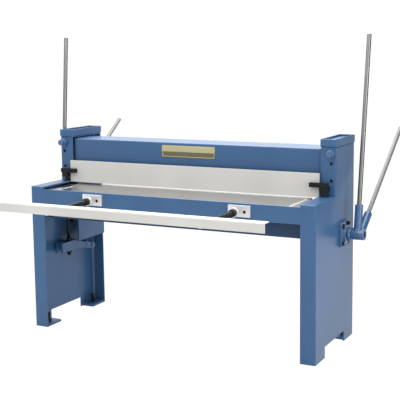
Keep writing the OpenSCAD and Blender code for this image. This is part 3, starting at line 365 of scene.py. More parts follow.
def card(name, corners, grey, roughness=0.9):
    """A flat sheet with four corners, in one grey. It belongs to the studio and not to the machine."""
    mesh = bpy.data.meshes.new(name)
    mesh.from_pydata(corners, [], [(0, 1, 2, 3)])
    material, tree, shader, _ = new_material(name)
    shader.inputs["Base Color"].default_value = (grey, grey, grey, 1.0)
    shader.inputs["Roughness"].default_value = roughness
    mesh.materials.append(material)
    thing = bpy.data.objects.new(name, mesh)
    bpy.context.scene.collection.objects.link(thing)
    return thing, tree, shader


print("studio helpers:", [helper.__name__ for helper in (either, white_to_the_eye, card)])

# %% Floor and room
floor_half, floor_grey, floor_white_share = 30.0, 0.80, 0.95
floor_corners = [(-floor_half, -floor_half, 0), (floor_half, -floor_half, 0),
                 (floor_half, floor_half, 0), (-floor_half, floor_half, 0)]
floor, floor_tree, floor_shader = card("floor", floor_corners, floor_grey)
floor_white = white_to_the_eye(floor_tree, floor_shader.outputs[0], floor_white_share)
floor_tree.links.new(floor_white, floor_tree.nodes["Material Output"].inputs["Surface"])

world = bpy.data.worlds.new("room")
world.use_nodes = True
bpy.context.scene.world = world
room_tree = world.node_tree
room_light = room_tree.nodes["Background"]
room_light.inputs["Color"].default_value = (1.0, 1.0, 1.0, 1.0)
room_light.inputs["Strength"].default_value = 0.45
room_white = white_to_the_eye(room_tree, room_light.outputs[0], 1.0)
room_tree.links.new(room_white, room_tree.nodes["World Output"].inputs["Surface"])
print("floor in metres:", [round(length, 1) for length in floor.dimensions])

# %% [markdown]
# ## Lamps
#
# Five large square lamps stand above, in front, behind and at both sides, because small ones would draw
# hard shadows and sharp glints. Round bars of bare steel also need something dark to mirror, or they look
# like paper. So three black cards stand behind and beside the machine, hidden from the camera.


# %% Lamps
def direction(place, aim):
    """The turn that points an object's -Z axis from place to aim."""
    back = np.array(place, float) - np.array(aim, float)
    back /= np.linalg.norm(back)
    right = np.cross((0.0, 0.0, 1.0), back)
    right /= np.linalg.norm(right)
    return Matrix(np.column_stack([right, np.cross(back, right), back]).tolist()).to_4x4()


def softbox(name, place, size, watts, aim=(0.0, 0.0, 0.7)):
    """A square lamp of that size in metres, facing the aim."""
    data = bpy.data.lights.new(name, "AREA")
    data.shape = "SQUARE"
    data.size = size
    data.energy = watts
    lamp = bpy.data.objects.new(name, data)
    lamp.matrix_world = Matrix.Translation(place) @ direction(place, aim)
    bpy.context.scene.collection.objects.link(lamp)


def flag(name, start, end, low, high=2.8):
    """A black card on edge between two points of the floor plan. It gives round metal a dark side."""
    corners = [(*start, low), (*end, low), (*end, high), (*start, high)]
    card(name, corners, 0.02)[0].visible_camera = False


softbox("top_softbox", (0.2, 0.6, 4.6), 5.0, 240.0)
softbox("front_softbox", (-0.5, -4.0, 5.0), 4.5, 140.0)
softbox("back_softbox", (-1.4, 3.6, 4.4), 4.0, 200.0)
softbox("right_softbox", (4.6, -0.6, 2.1), 3.8, 125.0)
softbox("left_softbox", (-4.0, -0.8, 3.8), 4.0, 105.0)
flag("right_flag", (2.6, 0.1), (1.4, 1.6), 0.40)
flag("back_flag", (1.4, 1.6), (0.25, 2.06), 1.2)
flag("left_flag", (-3.0, -0.9), (-3.0, 1.1), 0.95)
print("lamps:", [light.name for light in bpy.data.lights])

# %% [markdown]
# ## Surfaces
#
# The frame's solids are exact but plain. The pieces that follow take the place of some and add to others.
# Each one is a grid of points from a formula: a profile turned round an axis, or a section carried along a
# path. The same shapes can be modelled by hand with the Screw and Bevel modifiers, but a formula keeps its
# sizes in sight and follows the frame if the frame changes.


# %% Grids
def grid_faces(rows, columns):
    """The quads of a grid that is listed row by row, where the last column joins the first."""
    row, column = np.meshgrid(np.arange(rows - 1), np.arange(columns), indexing="ij")
    after = (column + 1) % columns
    here, above = row * columns, (row + 1) * columns
    return np.stack([here + column, here + after, above + after, above + column], axis=-1).reshape(-1, 4)


def turns(columns):
    """Evenly spaced angles of a full turn."""
    return np.arange(columns) * 2.0 * np.pi / columns


def around(radius, height):
    """A surface round Z from two tables, one row per height and one column per angle.
    x is the radius times the angle's cosine, y the radius times its sine, and z the height."""
    radius, height = np.broadcast_arrays(radius, height)
    rows, columns = radius.shape
    angle = turns(columns)
    points = np.stack([radius * np.cos(angle), radius * np.sin(angle), height], axis=-1)
    return points.reshape(-1, 3), grid_faces(rows, columns)


def stacked(outlines, levels):
    """A surface from flat outlines of equally many points: each is lifted to its level and joined to the
    next."""
    outlines = np.array(outlines)
    rows, columns = outlines.shape[:2]
    height = np.array(levels)[:, None, None] * np.ones((1, columns, 1))
    return np.concatenate([outlines, height], axis=-1).reshape(-1, 3), grid_faces(rows, columns)


def placed(surface, origin, axis=(0.0, 0.0, 1.0), toward=(0.0, 1.0, 0.0)):
    """Carries a surface from Z to a line: Z goes along the axis, and X to the side that toward is on."""
    points, faces = surface
    up = np.array(axis, float) / np.linalg.norm(axis)
    right = np.array(toward, float) - up * np.dot(up, toward)
    right /= np.linalg.norm(right)
    return points @ np.array([right, np.cross(up, right), up]) + np.array(origin, float), faces


print("quads between two rings of four points:", grid_faces(2, 4).tolist())

# %% [markdown]
# Turned parts come next: rings, rods, domes and bosses are all one line that goes round an axis. Nothing
# that leaves a workshop has a razor's edge, so every corner of that line is replaced by a short curve. A
# Bevel modifier would do it after the fact, but it rounds all edges alike, and here each profile has its
# own reach.


# %% Turned profiles
def soften(corners, reach, steps=5):
    """A line through corners, each rounded by a curve that starts and ends at reach from it.
    The curve is (1 - t)^2 times its start, plus 2 t (1 - t) times the corner, plus t^2 times its end."""
    corners = np.array(corners, float)
    legs = np.diff(corners, axis=0)
    length = np.linalg.norm(legs, axis=1, keepdims=True)
    step = legs / length * np.minimum(reach, 0.45 * length)
    bend = corners[1:-1, None]
    start = bend - step[:-1, None]
    end = bend + step[1:, None]
    t = np.linspace(0.0, 1.0, steps)[None, :, None]
    curve = (1.0 - t) ** 2 * start + 2.0 * t * (1.0 - t) * bend + t ** 2 * end
    return np.vstack([corners[:1], curve.reshape(-1, corners.shape[1]), corners[-1:]])


def lathe(profile, columns=48):
    """A turned surface: every (radius, height) of the profile goes round Z."""
    radius, height = np.array(profile, float).T[:, :, None] * np.ones(columns)
    return around(radius, height)


def tube(bore, outer, length, reach, steps=5, columns=72):
    """A turned ring: its profile goes round a rectangle, from the bore out and back, with soft corners."""
    corners = [(bore, 0.0), (outer, 0.0), (outer, length), (bore, length), (bore, 0.0)]
    return lathe(soften(corners, reach, steps), columns)


print("points on a ring's profile:", len(soften([(1, 0), (2, 0), (2, 1), (1, 1), (1, 0)], 0.1)))

# %% [markdown]
# A surface becomes an object in one place, so that every piece is treated alike: points that meet are
# merged, faces look outwards, the finish goes on, and the piece is tied to the body that it moves with. By
# hand that is Merge by Distance and Recalculate Outside in Edit Mode, again for each piece. A function
# forgets none.


# %% From surface to object
merge_distance = 1e-6
upward = (0.0, 0.0, 1.0)
frontward = (0.0, -1.0, 0.0)
sides = ((-1.0, "left"), (1.0, "right"))


def piece(name, surfaces, slot, body, stands_for=(), finish=None, sharp_deg=38.0):
    """One object from surfaces. Points that meet at poles and seams are merged, and faces look outwards."""
    counts = [len(points) for points, _ in surfaces]
    starts = np.cumsum([0] + counts[:-1])
    points = np.vstack([points for points, _ in surfaces])
    faces = np.vstack([faces + start for (_, faces), start in zip(surfaces, starts)])
    mesh = bpy.data.meshes.new(name)
    mesh.from_pydata(points.tolist(), [], faces.tolist())
    shape = bmesh.new()
    shape.from_mesh(mesh)
    bmesh.ops.remove_doubles(shape, verts=shape.verts, dist=merge_distance)
    bmesh.ops.recalc_face_normals(shape, faces=shape.faces)
    shape.to_mesh(mesh)
    shape.free()
    mesh.shade_smooth()
    mesh.set_sharp_from_angle(angle=math.radians(sharp_deg))
    mesh.materials.append(finish or finishes[slot])
    thing = bpy.data.objects.new(name, mesh)
    bpy.context.scene.collection.objects.link(thing)
    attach(thing, body)
    if stands_for:
        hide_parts(*stands_for)
    print(name, "faces:", len(mesh.polygons))
    return thing


def middle(node):
    """The middle of a solid's box."""
    low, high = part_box(node)
    return (np.array(low) + np.array(high)) / 2.0


def inner_x(node, side):
    """Where the face of a solid is that looks to the middle of the machine, from the side it is on."""
    low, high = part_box(node)
    return low.x if side > 0.0 else high.x


print("inner face of the right frame at x:", round(inner_x("right_side_frame", 1.0), 3))

# %% [markdown]
# ## Fasteners
#
# Bolt heads and nuts start as hexagon bar. A lathe then faces them off at 30 degrees, which leaves the arcs
# that make a bolt look like a bolt. In polar form that is short: the bar's radius changes with the angle,
# and the chamfer drops by the part of the radius that stands outside a circle. A thread is the same idea:
# its radius is a wave of the height that shifts by one pitch per turn. A bump map could fake it, but a
# thread is seen in outline, so it is in the mesh.


# %% Fastener surfaces
face_angle = math.radians(30.0)
face_share = 0.475
wave_stretch = 1.5


def hex_radius(across, columns):
    """The radius of a hexagon: half its width over the cosine of the angle from the middle of the nearest
    flat."""
    from_flat = (turns(columns) + np.pi / 6.0) % (np.pi / 3.0) - np.pi / 6.0
    return across / 2.0 / np.cos(from_flat)


def hex_body(across, height, bore=0.0, columns=48):
    """A hexagon from z 0 to the height, faced off at both ends. A bore of 0 gives a bolt's head."""
    bar = hex_radius(across, columns)
    circle = face_share * across
    drop = (bar - circle) * math.tan(face_angle)
    even = np.ones(columns)
    radius = np.stack([bore * even, circle * even, bar, bar, circle * even, bore * even, bore * even])
    level = np.stack([0.0 * even, 0.0 * even, drop, height - drop, height * even, height * even, 0.0 * even])
    return around(radius, level)


def thread(radius, length, pitch, columns=24, steps=6):
    """A screw: the radius less a triangle wave of height over pitch, less the angle's share of a turn.
    The wave is stretched and cut off for flat crests and roots, and fades out over a pitch at both ends."""
    rows = int(length / pitch * steps)
    height = np.linspace(0.0, length, rows)[:, None]
    phase = (height / pitch - turns(columns) / (2.0 * np.pi)) % 1.0
    triangle = np.abs(2.0 * phase - 1.0)
    wave = np.clip(wave_stretch * (triangle - 0.5) + 0.5, 0.0, 1.0)
    fade = np.clip(np.minimum(height, length - height) / pitch, 0.0, 1.0)
    groove = 0.5 * pitch * (wave * fade + (1.0 - fade))
    table = np.vstack([np.zeros((1, columns)), radius - groove, np.zeros((1, columns))])
    return around(table, np.vstack([height[:1], height, height[-1:]]))


screw_across = 0.024
print("a 24 mm hexagon over its corners:", round(2000.0 * hex_radius(screw_across, 48).max(), 1), "mm")

# %% [markdown]
# Four screws through the foot plates set the machine level, each with a lock nut. Screws and nuts have one
# width, so that one spanner fits both. Linked copies of one object would do, but they move as four objects.
# Here the surfaces are placed four times and joined, because the frame has them as one solid.

# %% Levelling screws
level_x, level_y = 0.858, 0.237
level_radius, level_pitch = 0.008, 0.002
level_head_tall, level_nut_bore = 0.0096, 0.0072
level_places = [(x, y) for x in (-level_x, level_x) for y in (-level_y, level_y)]
head_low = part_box("levelling_screws")[1].z - level_head_tall
nut_low, nut_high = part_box("levelling_nuts")

level_shank = thread(level_radius, head_low, level_pitch)
level_head = hex_body(screw_across, level_head_tall)
level_nut = hex_body(screw_across, nut_high.z - nut_low.z, level_nut_bore)
level_screws = [placed(level_shank, (x, y, 0.0)) for x, y in level_places]
level_screws += [placed(level_head, (x, y, head_low)) for x, y in level_places]
level_nuts = [placed(level_nut, (x, y, nut_low.z)) for x, y in level_places]
piece("levelling_screw_threads", level_screws, "black_steel", "frame", ["levelling_screws"])
piece("levelling_lock_nuts", level_nuts, "black_steel", "frame", ["levelling_nuts"])

# %% [markdown]
# Two black rods carry the hold-down plate. They are plain bar above and threaded below, where a nut on each
# side of a forked arm passes the pull on. Bar and thread are two surfaces that meet at one level, because a
# thread needs many rows and a bar needs few.

# %% Hold-down rods
rod_low, rod_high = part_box("hold_rods")
rod_x, rod_y = 0.844, (rod_low.y + rod_high.y) / 2.0
rod_radius = (rod_high.y - rod_low.y) / 2.0
rod_pitch, rod_soft = 0.003, 0.002
thread_top = 0.520
rod_profile = [(0.0, thread_top), (rod_radius, thread_top), (rod_radius, rod_high.z), (0.0, rod_high.z)]
rod_bar = lathe(soften(rod_profile, rod_soft))
rod_thread = thread(rod_radius, thread_top - rod_low.z, rod_pitch, 32)
rods = [placed(rod_bar, (x, rod_y, 0.0)) for x in (-rod_x, rod_x)]
rods += [placed(rod_thread, (x, rod_y, rod_low.z)) for x in (-rod_x, rod_x)]
piece("threaded_hold_rods", rods, "black_steel", "hold_down", ["hold_rods"])

rod_nut_low, rod_nut_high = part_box("hold_rod_nuts")
rod_nut_across = rod_nut_high.y - rod_nut_low.y
rod_nut_tall, rod_nut_grip = 0.016, 0.001
rod_nut = hex_body(rod_nut_across, rod_nut_tall, rod_radius - rod_nut_grip)
nut_levels = (rod_nut_low.z, rod_nut_high.z - rod_nut_tall)
rod_nuts = [placed(rod_nut, (x, rod_y, z)) for x in (-rod_x, rod_x) for z in nut_levels]
piece("hold_rod_hex_nuts", rod_nuts, "black_steel", "hold_down", ["hold_rod_nuts"])

# %% [markdown]
# The bed under the table hangs on brackets, with two bolts at each end. A whole bolt with its shank could be
# modelled, but the shanks run inside the plates, where they would add faces that nobody sees. So only the
# heads and the nuts are made.

# %% Bed bolts
bed_bolt_low, bed_bolt_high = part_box("bed_bolts")
bed_plate_y, bed_rib_y = -0.0003, -0.0323
bed_x, bed_levels = 0.799, (0.673, 0.743)
bed_places = [(x, z) for x in (-bed_x, bed_x) for z in bed_levels]
bed_head = hex_body(screw_across, bed_bolt_high.y - bed_plate_y)
bed_nut = hex_body(screw_across, bed_rib_y - bed_bolt_low.y)
bed_bolts = [placed(bed_head, (x, bed_plate_y, z), (0.0, 1.0, 0.0), upward) for x, z in bed_places]
bed_bolts += [placed(bed_nut, (x, bed_rib_y, z), frontward, upward) for x, z in bed_places]
piece("bed_hex_bolts", bed_bolts, "black_steel", "frame", ["bed_bolts"])

# %% [markdown]
# ## Shaft bearings
#
# The cross shaft runs in flanged housings. A housing like this is cast: a square flange with round corners,
# a round boss, and a fillet where they meet, because sand moulds and molten iron don't do sharp corners. A
# cube and a cylinder with a Boolean and a Bevel come close, but one grid makes it in one go. The rows go
# from the bore over the flange's edge and up the boss, and the radius changes from a squarish curve to a
# circle on the way. Paint stays thick and glossy on castings, so they get a finish with more shine.


# %% Bearing housings
shaft = middle("cross_shaft")
ring_low, ring_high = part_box("bearing_rings")
ring_radius = ring_high.z - shaft[2]
ring_play = 0.0002
flange_t, boss_radius = 0.015, 0.049
gloss_finish = paint("gloss_paint", blue, thin_blue, 0.20, shine=0.75)


def on_shaft(surface, x, side):
    """Carries a surface from Z to the shaft's line: it starts at x and points outwards on its side."""
    return placed(surface, (x, shaft[1], shaft[2]), (side, 0.0, 0.0), upward)


def housing(half, flange, tall, boss, bore, columns=96, squareness=5.4):
    """A flanged bearing. The flange's outline is half its width over the n-th root of the sum of the n-th
    powers of the angle's cosine and sine, with a raised rim. The boss is a turned profile on top."""
    draft, rim_tall, rim_wide, edge_soft = 0.001, 0.003, 0.005, 0.0025
    under, shelf = 0.004, 0.010
    fillet, lip, well, boss_soft = 0.006, 0.007, 0.005, 0.003
    angle = turns(columns)
    powers = np.abs(np.cos(angle)) ** squareness + np.abs(np.sin(angle)) ** squareness
    square = half * powers ** (-1.0 / squareness)
    rim_top, rim_end = flange + rim_tall, draft + rim_wide
    edge = soften([(under, 0.0), (0.0, 0.0), (draft, rim_top), (rim_end, rim_top),
                   (rim_end + draft, flange), (shelf, flange)], edge_soft)
    recess = boss - lip
    turned = soften([(boss + fillet, flange), (boss + draft, flange), (boss, tall), (recess, tall),
                     (recess - draft, tall - well), (bore, tall - well), (bore, 0.0)], boss_soft)
    radius = np.vstack([np.full((1, columns), bore), square - edge[:, :1], turned[:, :1] * np.ones(columns)])
    height = np.concatenate([[0.0], edge[:, 1], turned[:, 1]])[:, None]
    return around(radius, height)


for side, word in sides:
    node = f"{word}_bearing_housing"
    low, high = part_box(node)
    casting = housing((high.z - low.z) / 2.0, flange_t, high.x - low.x, boss_radius, ring_radius + ring_play)
    casting = on_shaft(casting, inner_x(node, side), side)
    piece(f"{word}_bearing_casting", [casting], "blue_paint", "frame", [node], gloss_finish)

# %% [markdown]
# Each housing is held by four bolts, with washers outside and nuts inside the frame. The hexagon from
# before does for heads and nuts, and a washer is a flat ring. An Array modifier could repeat them, but a
# list of four places is shorter and says where they are.

# %% Bearing bolts
bolt_half, bolt_across = 0.049, 0.021
bolt_head_tall, bolt_nut_tall = 0.0084, 0.0112
washer_bore, washer_outer, washer_t, washer_soft = 0.007, 0.014, 0.002, 0.0006
nut_face = 0.892
bolt_head = hex_body(bolt_across, bolt_head_tall)
bolt_nut = hex_body(bolt_across, bolt_nut_tall)
bolt_washer = tube(washer_bore, washer_outer, washer_t, washer_soft, 3, 48)
bolt_places = [(shaft[1] + y, shaft[2] + z)
               for y in (-bolt_half, bolt_half) for z in (-bolt_half, bolt_half)]
bolts = []
for side, word in sides:
    face = inner_x(f"{word}_bearing_housing", side) + side * flange_t
    outward, inward = (side, 0.0, 0.0), (-side, 0.0, 0.0)
    bolts += [placed(bolt_washer, (face, y, z), outward, upward) for y, z in bolt_places]
    bolts += [placed(bolt_head, (face + side * washer_t, y, z), outward, upward) for y, z in bolt_places]
    bolts += [placed(bolt_nut, (side * nut_face, y, z), inward, upward) for y, z in bolt_places]
piece("bearing_hex_bolts", bolts, "black_steel", "frame", ["bearing_bolts"])

# %% [markdown]
# The inner ring of each bearing stands out of the housing and turns with the shaft. A screw with a domed
# head clamps it from the front. Both are turned parts, a tube along the shaft and a dome across it, so the
# lathe makes them, and nothing has to be cut.

# %% Clamp rings
shaft_bore = 0.0203
ring_depth, ring_soft = 0.02, 0.0025
ring_from, ring_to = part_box("right_bearing_housing")[1].x - ring_depth, ring_high.x
ring_tube = tube(shaft_bore, ring_radius, ring_to - ring_from, ring_soft)

screw_radius, screw_foot = 0.010, 0.020
dome_tall, dome_share, dome_soft = 0.004, 0.6, 0.003
screw_x = ring_to - screw_radius
screw_reach = shaft[1] - ring_low.y
dome = lathe(soften([(0.0, screw_foot), (screw_radius, screw_foot), (screw_radius, screw_reach - dome_tall),
                     (dome_share * screw_radius, screw_reach), (0.0, screw_reach)], dome_soft), 32)
rings = []
for side, _ in sides:
    rings.append(on_shaft(ring_tube, side * ring_from, side))
    rings.append(placed(dome, (side * screw_x, shaft[1], shaft[2]), frontward, upward))
piece("clamp_rings", rings, "blue_paint", "lever_shaft", ["bearing_rings"], gloss_finish)

# %% [markdown]
# ## Welds
#
# Sockets and foot plates are welded on. A weld is a bead with even ripples, one for each drop of metal. A
# curve with a round bevel gives a smooth bead. A circle carried along a path in code can also swell and
# shrink on its way, so that is what the next helper does.


# %% Welds
def bead(path, radius, pitch=0.005, ripple=0.06, columns=10):
    """A weld: a circle carried along a path. Its radius swells and shrinks by the ripple's share, as the
    sine of the distance along the path over a whole number of pitches. Each end closes in a point."""
    slant = (0.36, 0.48, 0.80)
    ahead = np.gradient(path, axis=0)
    ahead /= np.linalg.norm(ahead, axis=1, keepdims=True)
    across = np.cross(ahead, slant)
    across /= np.linalg.norm(across, axis=1, keepdims=True)
    up = np.cross(ahead, across)
    distance = np.concatenate([[0.0], np.cumsum(np.linalg.norm(np.diff(path, axis=0), axis=1))])
    waves = max(1.0, round(distance[-1] / pitch))
    size = radius * (1.0 + ripple * np.sin(2.0 * np.pi * waves * distance / distance[-1]))
    angle = turns(columns)[None, :, None]
    circle = np.cos(angle) * across[:, None] + np.sin(angle) * up[:, None]
    rings = path[:, None] + size[:, None, None] * circle
    ends = np.ones((1, columns, 1))
    points = np.concatenate([path[0] * ends, rings, path[-1] * ends])
    return points.reshape(-1, 3), grid_faces(len(path) + 2, columns)


def straight(start, end, step=0.0012):
    """Even points on a line."""
    start, end = np.array(start, float), np.array(end, float)
    count = max(3, int(np.linalg.norm(end - start) / step))
    return start + np.linspace(0.0, 1.0, count)[:, None] * (end - start)


print("points along 100 mm of weld:", len(straight((0.0, 0.0, 0.0), (0.1, 0.0, 0.0))))

# %% [markdown]
# ## Levers
#
# Each hub carries two bars in welded sockets. Where a socket meets the hub, the seam is a saddle: over a
# hub of radius R, a point that is v away from the middle meets it at the square root of R^2 - v^2. A
# Boolean would find that curve too, but leave a ragged mesh. Here the socket's lowest row follows it, and
# so does the weld.


# %% Lever sockets
socket_radius, socket_reach = 0.0225, 0.165
seam_step = 0.001


def saddle(radius, hub, angle):
    """Heights at which a socket meets a hub, for each angle: the root of the hub's radius squared, less the
    square of the socket's radius times the angle's sine."""
    return np.sqrt(hub ** 2 - (radius * np.sin(angle)) ** 2)


def socket(radius, hub, reach, bore, columns=64, mouth=0.02, soft=0.0025):
    """A tube on a hub: from a point inside the hub to the saddle, up to the rim and down inside."""
    even = np.ones(columns)
    deep = reach - mouth
    rim = soften([(radius, deep), (radius, reach), (bore, reach), (bore, deep)], soft)
    foot = saddle(radius, hub, turns(columns)) - seam_step
    radii = np.vstack([0.0 * even, radius * even, rim[:, :1] * even, 0.0 * even])
    heights = np.vstack([0.5 * hub * even, foot, rim[:, 1:] * even, deep * even])
    return around(radii, heights)


def seam(radius, hub, count=161):
    """The path of the weld: once round the socket, just above the saddle."""
    angle = np.linspace(0.0, 2.0 * np.pi, count)
    lift = saddle(radius, hub, angle) + seam_step
    return np.stack([radius * np.cos(angle), radius * np.sin(angle), lift], axis=-1)


hub_low, hub_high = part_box("right_lever_hub")
hub_radius, hub_length = shaft[2] - hub_low.z, hub_high.x - hub_low.x
seam_heights = seam(socket_radius, hub_radius)[:, 2]
print("the seam rises by", round(1000.0 * np.ptp(seam_heights), 1), "mm round a socket")

# %% [markdown]
# The bars are bare. The upright ones are bright, and the ones that lean back are dull, with a skin that
# hides most of the shine. The grain has to run along a bar that leans, so each finish leans its pattern
# with it. A bar is a turned profile with a chamfer at its free end, and it starts inside its socket.

# %% Lever hubs and bars
lean_of = {"upright": math.radians(6.0), "rear": math.radians(54.3)}
lever_reach = {"upright": 1.106, "rear": 0.915}
lever_set = {"upright": 0.032, "rear": 0.048}
lever_seat, lever_radius, lever_play = 0.048, 0.0127, 0.0002
lever_splay = math.radians(1.0)
bar_chamfer_tall, bar_chamfer_wide, bar_soft = 0.003, 0.004, 0.003
hub_soft, socket_weld = 0.004, 0.0036
cap_radius, cap_t, cap_soft = 0.0199, 0.0010, 0.0008
lengthwise = (1.0, 0.0, 0.0)

dull_colour, dull_shade = (0.250, 0.249, 0.245), (0.205, 0.204, 0.200)
lever_finishes = {
    "upright": steel("upright_lever_steel", bar_colour, bar_shade, 0.33, along_z, lean_of["upright"]),
    "rear": steel("rear_lever_steel", dull_colour, dull_shade, 0.62, along_z, lean_of["rear"], metal=0.4),
}
hub_tube = tube(shaft_bore, hub_radius, hub_length, hub_soft)
socket_tube = socket(socket_radius, hub_radius, socket_reach, lever_radius + lever_play)
socket_bead = bead(seam(socket_radius, hub_radius), socket_weld)
shaft_cap = lathe(soften([(0.0, 0.0), (cap_radius, 0.0), (cap_radius, cap_t), (0.0, cap_t)], cap_soft))
shaft_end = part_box("cross_shaft")[1].x
for side, word in sides:
    hub_node = f"{word}_lever_hub"
    inner = inner_x(hub_node, side)
    surfaces = [on_shaft(hub_tube, inner, side)]
    for lever, lean in lean_of.items():
        foot = (inner + side * lever_set[lever], shaft[1], shaft[2])
        axis = (side * math.tan(lever_splay), math.sin(lean), math.cos(lean))
        surfaces.append(placed(socket_tube, foot, axis, lengthwise))
        surfaces.append(placed(socket_bead, foot, axis, lengthwise))
        reach = lever_reach[lever]
        profile = soften([(0.0, lever_seat), (lever_radius, lever_seat),
                          (lever_radius, reach - bar_chamfer_tall),
                          (lever_radius - bar_chamfer_wide, reach), (0.0, reach)], bar_soft)
        bar = placed(lathe(profile), foot, axis, lengthwise)
        node = f"{word}_{lever}_lever"
        piece(f"{node}_bar", [bar], "lever_steel", "lever_shaft", [node], lever_finishes[lever])
    piece(f"{word}_hub_and_sockets", surfaces, "blue_paint", "lever_shaft", [hub_node], gloss_finish)
    cap = on_shaft(shaft_cap, side * shaft_end, side)
    piece(f"{word}_shaft_end", [cap], "black_steel", "lever_shaft")

# %% [markdown]
# ## Springs
#
# Two springs stand on the hold-down arms, under tabs of the beam's side plates, and lift the beam after the
# cut. A Screw modifier winds a coil, but with one pitch from end to end. In a real spring the pitch closes
# up, so that the last turns lie flat on their seats: here the height gets a sine that slows it there.


# %% Springs
def coil(radius, wire, low, high, count, columns=12, steps=40, closing=0.6):
    """A spring from low to high: its height is the share of the way, less the closing times the sine of the
    full turn over 2 pi, so the pitch shrinks at both ends."""
    share = np.linspace(0.0, 1.0, int(count * steps))
    angle = 2.0 * np.pi * count * share
    level = share - closing * np.sin(2.0 * np.pi * share) / (2.0 * np.pi)
    height = low + wire + (high - low - 2.0 * wire) * level
    path = np.stack([radius * np.cos(angle), radius * np.sin(angle), height], axis=-1)
    return bead(path, wire, ripple=0.0, columns=columns)


wire_radius, coil_turns = 0.0025, 8.0
for _, word in sides:
    node = f"{word}_spring"
    low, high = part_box(node)
    seat = middle(node)
    wound = coil((high.x - low.x) / 2.0 - wire_radius, wire_radius, low.z, high.z, coil_turns)
    wound = placed(wound, (seat[0], seat[1], 0.0))
    spring = piece(f"{word}_coil", [wound], "spring_steel", f"{word}_hold_arm", [node])
    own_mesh(spring)

# %% [markdown]
# ## Lock nuts
#
# The gauge rods are locked by nuts that are turned by hand, so they are knurled for grip. The ribs could be
# a bump, but they break the outline, so the radius itself is cut by a wave of the angle.


# %% Knurled lock nuts
def knurled(radius, bore, height, ridges=40, columns=160):
    """A nut for fingers: a turned profile whose outside is cut by a cosine of the angle times the ridges.
    The cut fades out over the outermost band, so the chamfered ends stay round."""
    chamfer, band, depth, soft = 0.002, 0.001, 0.0005, 0.0008
    profile = soften([(bore, 0.0), (radius - chamfer, 0.0), (radius, chamfer), (radius, height - chamfer),
                      (radius - chamfer, height), (bore, height), (bore, 0.0)], soft, 3)
    grooves = depth * (1.0 - np.cos(ridges * turns(columns)))
    outside = np.clip((profile[:, :1] - radius + band) / band, 0.0, 1.0)
    return around(profile[:, :1] - outside * grooves, profile[:, 1:] * np.ones(columns))


gauge_rod_bore = 0.0142
for _, word in sides:
    node = f"{word}_lock_nut"
    low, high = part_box(node)
    centre = middle(node)
    nut = knurled((high.x - low.x) / 2.0, gauge_rod_bore, high.y - low.y)
    nut = placed(nut, (centre[0], high.y, centre[2]), frontward, upward)
    piece(f"{word}_knurled_nut", [nut], "black_steel", node, [node])

# %% [markdown]
# ## Guide bolts
#
# A bolt on the front of each tower sets the guide of the beam. It is a wide collar with a smaller round
# head, painted over with the frame. One turned profile has shank, collar and head in it, with soft
# shoulders, as paint leaves them.

# %% Guide bolts on the towers
gib_low, gib_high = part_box("gib_bolts")
gib_shank_radius, collar_radius, knob_radius = 0.009, 0.023, 0.0175
collar_tall, gib_soft = 0.021, 0.0025
gib_x, gib_z = gib_high.x - collar_radius, middle("gib_bolts")[2]
gib_deep, knob_tall = -gib_high.y, -gib_low.y
gib_profile = soften([(0.0, gib_deep), (gib_shank_radius, gib_deep), (gib_shank_radius, 0.0),
                      (collar_radius, 0.0), (collar_radius, collar_tall), (knob_radius, collar_tall),
                      (knob_radius, knob_tall), (0.0, knob_tall)], gib_soft)
gibs = [placed(lathe(gib_profile), (x, 0.0, gib_z), frontward, upward) for x in (-gib_x, gib_x)]
piece("guide_bolts", gibs, "blue_paint", "frame", ["gib_bolts"], gloss_finish)

# %% [markdown]
# ## Sheet work
#
# A side frame is one sheet with folded edges. The inside of a fold is round and catches the light as a thin
# line, and the foot plates are welded in. These are small things, but they are where the eye looks to see
# how a machine was made. A Bevel on the frame would round the folds, but the solids stay as they are, so
# thin strips with a hollow side lie in the corners. Their blue is lighter than the frame's: a painted
# highlight for the light line along each fold.


# %% Folds and foot welds
def fold(corner, first, second, radius, low, high, steps=8):
    """The round inside of an upright fold: an arc from one sheet to the other, closed over the corner.
    Its points are the corner plus the radius times 1 - sine and 1 - cosine along the two sheets."""
    angle = np.linspace(0.0, np.pi / 2.0, steps)[:, None]
    arc = np.array(corner) + radius * ((1.0 - np.sin(angle)) * np.array(first)
                                       + (1.0 - np.cos(angle)) * np.array(second))
    outline = np.vstack([arc, [corner]])
    centre = np.tile(outline.mean(axis=0), (steps + 1, 1))
    return stacked([centre, outline, outline, centre], [low, low, high, high])


sheet_t, fold_radius, foot_weld = 0.008, 0.010, 0.0045
shoulder_z = 0.846
notch_front, notch_back = -0.168, 0.159
foot_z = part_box("foot_plates")[1].z
# Painted highlight: a lighter blue for the light line along each fold and along the apron's top edge.
fold_highlight_painted_finish = paint("fold_highlight_painted", (0.080, 0.160, 0.290), thin_blue, 0.25)
for side, word in sides:
    node = f"{word}_side_frame"
    low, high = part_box(node)
    wall = (high.x if side > 0.0 else low.x) - side * sheet_t
    mouth = inner_x(node, side)
    front, back = low.y + sheet_t, high.y - sheet_t
    inward = (-side, 0.0)
    folds = [fold((wall, back), inward, (0.0, -1.0), fold_radius, foot_z, high.z),
             fold((wall, front), inward, (0.0, 1.0), fold_radius, foot_z, shoulder_z)]
    piece(f"{word}_frame_folds", folds, "blue_paint", "frame", (), fold_highlight_painted_finish)
    weld_runs = [((wall, front), (wall, notch_front)), ((wall, notch_back), (wall, back)),
                 ((wall, front), (mouth, front)), ((wall, back), (mouth, back))]
    beads = [bead(straight((*start, foot_z), (*end, foot_z)), foot_weld) for start, end in weld_runs]
    piece(f"{word}_foot_welds", beads, "blue_paint", "frame")
